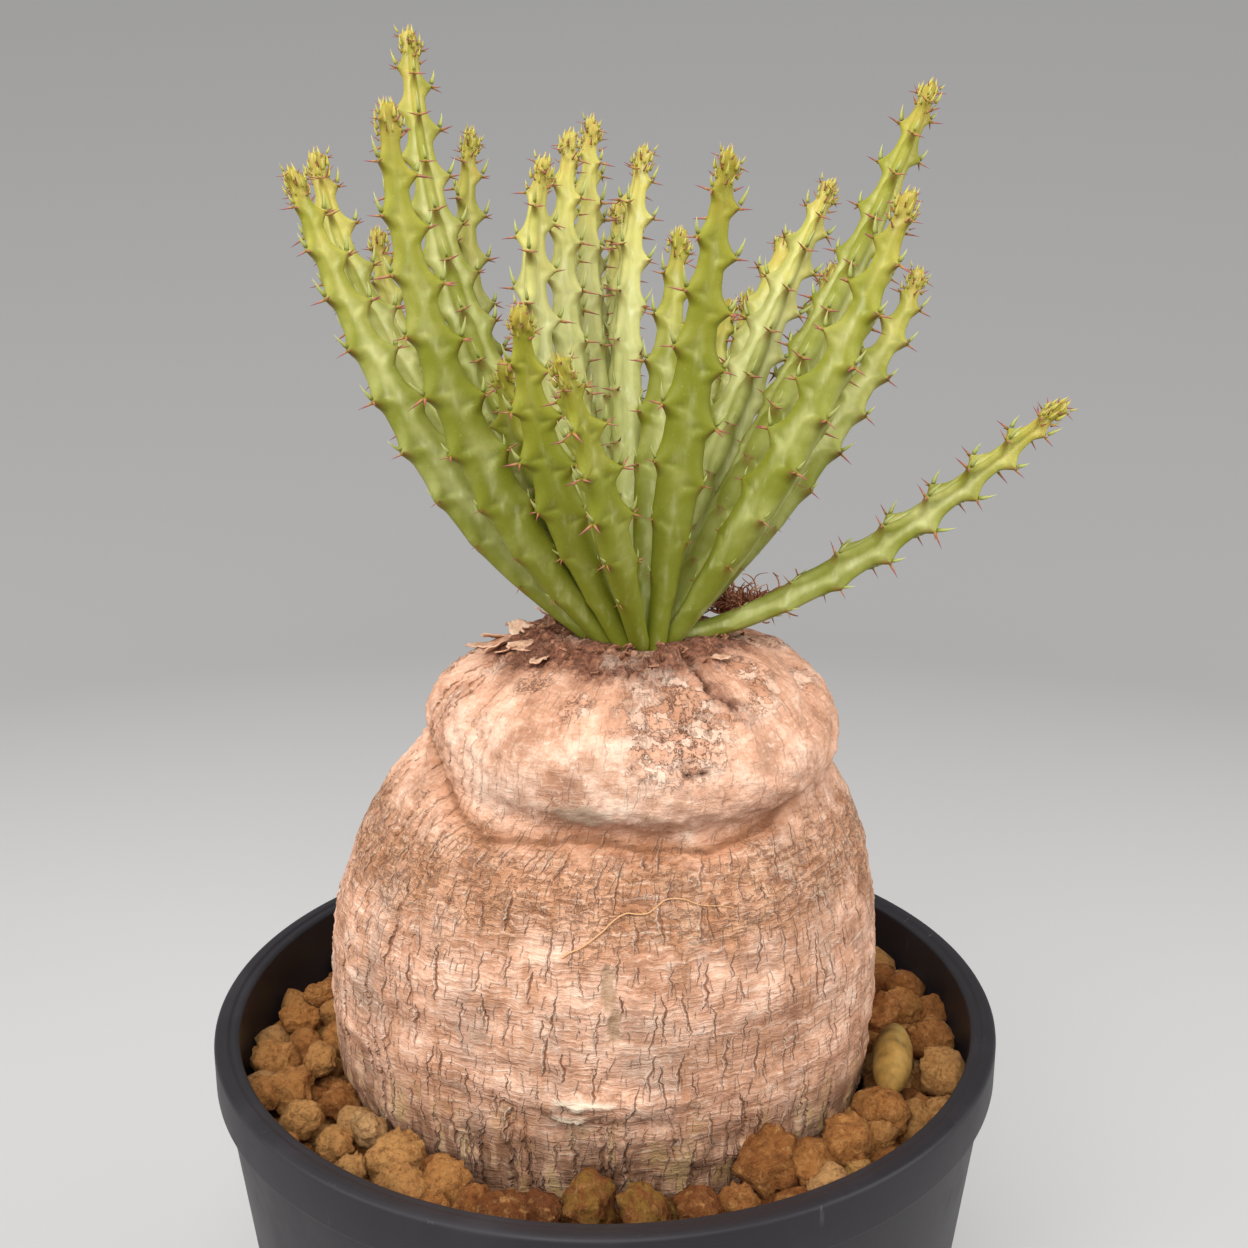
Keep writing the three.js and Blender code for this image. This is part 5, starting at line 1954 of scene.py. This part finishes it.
    def crowded(self, shape: Field, count: int, reach: float, flare: float, size: tuple) -> Field:
        """Small leaves or spines that crowd on the tip.

        Args:
            shape: The shape of one.
            count: How many there are.
            reach: How far down the stem they stand.
            flare: How far the topmost lean out.
            size: Half width, half depth and length of one.

        Returns:
            The copies.
        """
        tree = self.tree
        index = tree.out("GeometryNodeInputIndex")
        down = 1.0 - index / float(count)
        distance = self.length - 0.5 - down * reach
        centre, outward, along = self.outward(distance, index * 2.4 + flare)
        ring = (self.core(distance) + 0.3) * (0.2 + 0.9 * tree.rise(down, 0.0, 0.5))
        points = tree.out("GeometryNodePoints", {"Count": count, "Position": centre + outward * ring})
        points = tree.store(points, "aim", along + outward * (flare + 0.6 * down), "FLOAT_VECTOR")
        points = tree.store(points, "inward", outward * -1.0, "FLOAT_VECTOR")
        points = tree.store(points, "along", 1.0)
        turned = self.aim_at(tree.named("aim", "FLOAT_VECTOR"), tree.named("inward", "FLOAT_VECTOR"))
        return tree.planted(points, shape, turned, tree.vector(*size) * tree.random(0.6, 1.15, count))


@dataclass
class MossyPebble:
    """The one long smooth pebble at the right edge of the bed."""

    centre: tuple[float, float, float] = (43.4, -12.5, 92.4)
    half: tuple[float, float, float] = (3.0, 8.8, 3.4)
    turn: float = -14.0
    room_lift: float = 1.5
    room_margin: float = 1.2

    def room(self) -> tuple[np.ndarray, np.ndarray]:
        """The room that the grains leave for it.

        Returns:
            Centres and radii of balls along it.
        """
        places = np.linspace(-0.6, 0.6, 4) * self.half[1]
        turn = math.radians(self.turn)
        x, y, z = self.centre
        rows = [(x - at * math.sin(turn), y + at * math.cos(turn), z + self.room_lift) for at in places]
        return np.array(rows), np.full(len(rows), self.half[0] + self.room_margin)

    def build(self, finish: Finish) -> Object:
        """Shapes the pebble.

        Args:
            finish: Its surface.

        Returns:
            The pebble.
        """
        tree = Growth("pebble", {"Lump Height": 0.7})
        ball = tree.out("GeometryNodeMeshIcoSphere", {"Radius": 1.0, "Subdivisions": 5})
        turned = (0.0, 0.0, math.radians(self.turn))
        stone = tree.out("GeometryNodeTransform", {0: ball, "Translation": self.centre, "Rotation": turned,
                                                   "Scale": self.half})
        place = tree.out("GeometryNodeInputPosition")
        lumps = (tree.noise(place / 4.0, 2.0) - 0.5) * tree.input("Lump Height")
        stone = tree.shift(stone, tree.out("GeometryNodeInputNormal") * lumps)
        tree.end(tree.dressed(stone, finish.build()))
        return tree.grow("mossy_stone", bpy.data.meshes.new("pebble_carrier"))


@dataclass
class GravelBed:
    """The mix in the pot, with a loose top layer of coarse grains that have settled on each other."""

    pot: Pot
    caudex: Caudex
    pebble: MossyPebble
    level: float = 84.0
    surface: float = 88.5
    placed_level: float = 90.3
    grains: int = 600
    radii: tuple[float, float] = (1.35, 3.3)
    start_reach: float = 38.0
    start_width: float = 16.0
    start_height: float = 85.0
    start_depth: float = 14.0
    wall_share: float = 0.95
    bark_level: float = 92.0
    bark_share: float = 0.8
    rest_share: float = 0.3
    moss_share: float = 0.05
    steps: int = 170
    fall: float = 0.35
    push: float = 0.35
    closeness: float = 0.9
    near_line: float = 12.0
    seed: int = 12
    placed: tuple[tuple[float, float, float, float], ...] = (
        (-20.8, -39.2, 3.5, 0.6), (-28.2, -34.5, 4.1, 0.75), (-26.2, -40.8, 3.7, 0.7),
        (22.5, -34.5, 4.4, 0.35), (28.2, -34.9, 3.5, 0.5), (-1.6, -43.2, 3.6, 0.25),
        (5.5, -45.4, 3.5, 0.25), (-12.9, -45.8, 3.3, 0.15), (-7.5, -44.8, 2.5, 0.1),
        (-16.8, -44.8, 2.8, 0.3), (12.5, -44.8, 3.1, 0.2), (17.7, -43.2, 3.1, 0.4),
        (-33.8, -36.6, 2.6, 0.8), (-37.0, -31.1, 3.0, 0.7), (-43.2, -25.3, 3.1, 0.75),
        (-46.5, -17.7, 3.2, 0.6), (-43.9, -9.6, 2.6, 0.7), (-49.8, 2.4, 3.1, 0.55),
        (-50.8, -9.6, 3.3, 0.65), (-50.3, -19.0, 2.9, 0.6), (34.1, -30.0, 3.6, 0.55),
        (40.3, -22.8, 3.7, 0.5), (50.9, -13.0, 4.1, 0.75), (51.1, -3.7, 3.4, 0.4),
        (48.3, 5.6, 3.8, 0.5), (50.5, 12.3, 3.6, 0.35), (46.9, 15.9, 3.3, 0.3),
        (38.5, -28.8, 2.4, 0.65), (34.1, -37.7, 2.6, 0.8), (29.7, -40.8, 2.9, 0.85),
        (-32.8, -27.6, 3.0, 0.9), (-48.1, 10.6, 2.5, 0.5), (-44.2, -31.1, 2.4, 0.6),
    )
    mossy: tuple[int, ...] = (5, 6, 28)

    def settled(self) -> tuple[np.ndarray, np.ndarray]:
        """Lets round grains fall and push each other apart, round the grains whose places are listed.

        Returns:
            Their centres and radii.
        """
        random = np.random.default_rng(self.seed)
        fixed = np.array(self.placed)
        loose = self.grains - len(fixed)
        radius = self.radii[0] + (self.radii[1] - self.radii[0]) * random.random(loose) ** 1.5
        turn = random.random(loose) * TURN
        reach = self.start_reach + self.start_width * np.sqrt(random.random(loose))
        height = self.start_height + self.start_depth * random.random(loose)
        centre = np.stack([reach * np.cos(turn), reach * np.sin(turn), height], 1)
        kept_free, stone_radius = self.pebble.room()
        radius = np.concatenate([fixed[:, 2], radius[len(kept_free):], stone_radius])
        home = np.stack([fixed[:, 0], fixed[:, 1], np.full(len(fixed), self.placed_level)], 1)
        centre = np.concatenate([home, centre[len(kept_free):], kept_free])
        own = np.eye(self.grains, dtype=bool)
        for _ in range(self.steps):
            centre[:, 2] -= self.fall
            gap = centre[:, None] - centre[None]
            apart = np.linalg.norm(gap, axis=2) + own
            bite = np.maximum(self.closeness * (radius[:, None] + radius[None]) - apart, 0)
            bite = np.where(own, 0, bite)
            centre += self.push * (gap / apart[..., None] * bite[..., None]).sum(1)
            out = np.hypot(centre[:, 0], centre[:, 1])
            wall = self.pot.inner_radius(self.surface) - radius * self.wall_share
            centre[:, :2] *= np.minimum(1, wall / out)[:, None]
            angle = np.arctan2(centre[:, 1] - self.caudex.centre[1], centre[:, 0] - self.caudex.centre[0])
            width = self.caudex.lower_reach(np.full_like(angle, self.bark_level), angle)
            width = width + radius * self.bark_share
            depth = width * self.caudex.lower_depth_ratio
            limit = oval_reach(self.caudex.centre, width, depth, self.caudex.centre, angle)
            away = centre[:, :2] - self.caudex.centre
            stretch = np.maximum(limit / np.hypot(away[:, 0], away[:, 1]), 1)
            centre[:, :2] = self.caudex.centre + away * stretch[:, None]
            centre[:, 2] = np.maximum(centre[:, 2], self.level + self.rest_share * radius)
            centre[:len(home)] = home
            centre[-len(kept_free):] = kept_free
        return centre[:-len(kept_free)], radius[:-len(kept_free)]

    def build(self, finish: Finish) -> Object:
        """Turns the settled grains into rough stones.

        Args:
            finish: The stone.

        Returns:
            The bed.
        """
        centre, radius = self.settled()
        random = np.random.default_rng(self.seed + 1)
        # Grains near the front wall, y below -38, get a darker tone: painted shade under the pot's front
        # lip.
        tone = 0.25 + 0.65 * random.random(len(centre)) - 0.4 * (centre[:, 1] < -38)
        tone[:len(self.placed)] = np.array(self.placed)[:, 3]
        moss = (random.random(len(centre)) < self.moss_share).astype(float)
        moss[:len(self.placed)] = 0
        moss[list(self.mossy)] = 1
        near = ((centre[:, 1] < self.near_line) & (centre[:, 2] > self.surface)).astype(float)
        carrier = point_mesh("grains", centre, size=radius, tone=tone, moss=moss, middle=centre, near=near)
        tree = Growth("gravel", {"Facet Share": 0.8, "Lump Height": 1.25, "Pit Depth": 0.4})
        points = tree.out("GeometryNodeMeshToPoints", {0: tree.input("Geometry")})
        coarse = tree.out("GeometryNodeMeshIcoSphere", {"Radius": 1.0, "Subdivisions": 2})
        fine = tree.out("GeometryNodeMeshIcoSphere", {"Radius": 1.0, "Subdivisions": 4})
        spans = ((0.85, 1.25), (0.8, 1.12), (0.72, 0.98))
        squash = tree.vector(*(tree.random(low, high, seed) for seed, (low, high) in enumerate(spans, 1)))
        direction = tree.vector(*(tree.random(-1, 1, seed) for seed in (4, 5, 6)))
        points = tree.store(points, "offset", tree.random(0.0, 900.0, 8))
        split = tree.node("GeometryNodeSeparateGeometry", {0: points, 1: tree.named("near")}, domain="POINT")
        both = [tree.planted(Field(tree, output), ball, tree.aimed(direction), squash * tree.named("size"))
                for output, ball in zip(split.outputs, (fine, coarse))]
        stones = tree.out("GeometryNodeRealizeInstances", {0: tree.joined(*reversed(both))})
        place = tree.out("GeometryNodeInputPosition")
        offset, middle = tree.named("offset"), tree.named("middle", "FLOAT_VECTOR")
        ray = place - middle
        facet = tree.cells(ray.unit() * 1.05 + offset, output="Position") - offset
        inputs = {0: ray.unit(), 1: facet.unit()}
        facing = tree.out("ShaderNodeVectorMath", inputs, output=1, operation="DOT_PRODUCT")
        flat = 0.9 / tree.math("MAXIMUM", facing, 0.74)
        stones = tree.place(stones, middle + ray * (1.0 + (flat - 1.0) * tree.input("Facet Share")))
        lumps = tree.noise(place / 2.2 + offset, 5.0, 0.68) - 0.5
        pits = tree.rise(tree.noise(place / 1.1 + offset, 2.0), 0.42, 0.3)
        grown = tree.named("size") / 3.0
        relief = lumps * 2.0 * tree.input("Lump Height") * grown - pits * tree.input("Pit Depth")
        stones = tree.shift(stones, tree.out("GeometryNodeInputNormal") * relief)
        tree.end(tree.dressed(stones, finish.build()))
        return tree.grow("gravel_grains", carrier)


@dataclass
class Studio:
    """A plain pale sweep, soft lights and the camera."""

    camera_place: tuple[float, float, float] = (2.8, -192.0, 202.0)
    camera_pitch: float = 13.2
    lens: float = 38.08
    sensor: float = 36.0
    nearest: float = 10.0
    aim: tuple[float, float, float] = (0.0, 0.0, 140.0)
    lights: tuple[tuple[str, tuple[float, float, float], float, float], ...] = (
        ("key", (-80, -440, 560), 460, 3.75), ("left", (-600, -300, 390), 500, 2.7),
        ("right", (620, -220, 390), 500, 3.2), ("top", (-180, 160, 900), 700, 2.4),
    )
    world_colour: str = "e9e9ec"
    world_strength: float = 0.36
    sweep_colour: str = "c9c8c6"
    sweep_roughness: float = 0.8
    sweep_reach: float = 1150.0
    sweep_height: float = 1700.0
    sweep_round: float = 550.0
    sweep_sides: int = 96
    sweep_steps: int = 24

    def build(self) -> None:
        """Sets up the camera, the lights and the sweep."""
        data = bpy.data.cameras.new("camera")
        data.lens = self.lens
        data.sensor_width = self.sensor
        data.clip_start = self.nearest * METRES_PER_MM
        camera = bpy.data.objects.new("camera", data)
        camera.location = Vector(self.camera_place) * METRES_PER_MM
        camera.rotation_euler = (math.radians(90 - self.camera_pitch), 0, 0)
        scene = bpy.context.scene
        scene.collection.objects.link(camera)
        scene.camera = camera
        scene.view_settings.view_transform = "Standard"
        for name, place, size, power in self.lights:
            self.light(name, place, size, power)
        world = bpy.data.worlds.new("studio")
        world.use_nodes = True
        glow = world.node_tree.nodes["Background"]
        glow.inputs["Color"].default_value = colour(self.world_colour)
        glow.inputs["Strength"].default_value = self.world_strength
        scene.world = world
        self.sweep()

    def light(self, name: str, place: tuple[float, float, float], size: float, power: float) -> None:
        """Adds one soft square light that faces the plant.

        Args:
            name: Its name.
            place: Where it hangs, in millimetres.
            size: Its side, in millimetres.
            power: Its power in watts.
        """
        data = bpy.data.lights.new(name, "AREA")
        data.size = size * METRES_PER_MM
        data.energy = power
        lamp = bpy.data.objects.new(name, data)
        lamp.location = Vector(place) * METRES_PER_MM
        facing = Vector(self.aim) * METRES_PER_MM - lamp.location
        lamp.rotation_euler = facing.to_track_quat("-Z", "Y").to_euler()
        bpy.context.scene.collection.objects.link(lamp)

    def sweep(self) -> None:
        """Lays the pale round floor, which curves up on every side and throws no light back at the plant."""
        turns = np.linspace(0, math.pi / 2, self.sweep_steps)
        bend = self.sweep_reach - self.sweep_round
        run = [(1.0, 0.0)]
        run += [(bend + self.sweep_round * math.sin(a), self.sweep_round * (1 - math.cos(a))) for a in turns]
        run.append((self.sweep_reach, self.sweep_height))
        reach, height = np.array(run).T
        sides = self.sweep_sides
        angle = np.arange(sides) * TURN / sides
        level = np.repeat(height[:, None], sides, 1)
        rings = np.stack([np.outer(reach, np.cos(angle)), np.outer(reach, np.sin(angle)), level], 2)
        faces = [
            (low + side, low + (side + 1) % sides, low + sides + (side + 1) % sides, low + sides + side)
            for low in range(0, sides * (len(run) - 1), sides) for side in range(sides)
        ]
        mesh = point_mesh("sweep", rings.reshape(-1, 3), faces=faces)
        material = bpy.data.materials.new("sweep")
        material.use_nodes = True
        shader = material.node_tree.nodes["Principled BSDF"]
        shader.inputs["Base Color"].default_value = colour(self.sweep_colour)
        shader.inputs["Roughness"].default_value = self.sweep_roughness
        shader.inputs["Specular IOR Level"].default_value = 0.0
        mesh.materials.append(material)
        mesh.shade_smooth()
        floor = finished("sweep", mesh)
        floor.visible_diffuse = False


def settle(piece: Object, slot: str, *nodes: str) -> None:
    """Gives a piece to the plant's one body and hides the solids that it replaces.

    Args:
        piece: The piece.
        slot: Not used.
        nodes: The solids that it replaces.
    """
    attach(piece, "root")
    if nodes:
        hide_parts(*nodes)
    triangles = sum(len(face.vertices) - 2 for face in piece.data.polygons)
    LOG.info("%s: %d triangles", piece.name, triangles)


def main() -> None:
    """Builds the studio and every piece of the plant."""
    logging.basicConfig(level=logging.INFO, format="%(message)s")
    Studio().build()
    pot = Pot()
    settle(pot.build(MouldedPlastic("black_plastic", specular=0.32)), "black_plastic", "pot")
    caudex = Caudex()
    skin = BarkSkin(caudex)
    settle(skin.build(CorkBark("cork_bark", specular=0.3)), "cork_bark", "caudex")
    settle(TornBark(skin).build(FlakeBark("flake_bark", specular=0.25)), "cork_bark")
    settle(FibreTuft().strands().build(DryFibre("dry_fibre", specular=0.3)), "dry_fibre", "fibre_tuft")
    root = DryFibre("dry_root", specular=0.3, dark="a8703f", pale="d8a878")
    settle(RootThread(caudex).strands().build(root), "dry_fibre")
    pebble = MossyPebble()
    settle(pebble.build(MossyStone("mossy_stone", specular=0.35)), "mossy_stone", "mossy_pebble")
    gravel = GravelBed(pot, caudex, pebble).build(VolcanicStone("volcanic_stone", specular=0.2))
    settle(gravel, "volcanic_gravel", "gravel_bed")
    flesh = GreenFlesh("green_flesh", specular=0.36, translucence=0.12, translucent_depth=1.5)
    stems = StemTuft(caudex).build(flesh, SpineHorn("spine_horn"), SmallLeaf("small_leaf", translucence=0.1))
    for number, stem in enumerate(stems, 1):
        settle(stem, "green_flesh", f"stem_{number:02d}")


if __name__ == "__main__":
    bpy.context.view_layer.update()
    main()
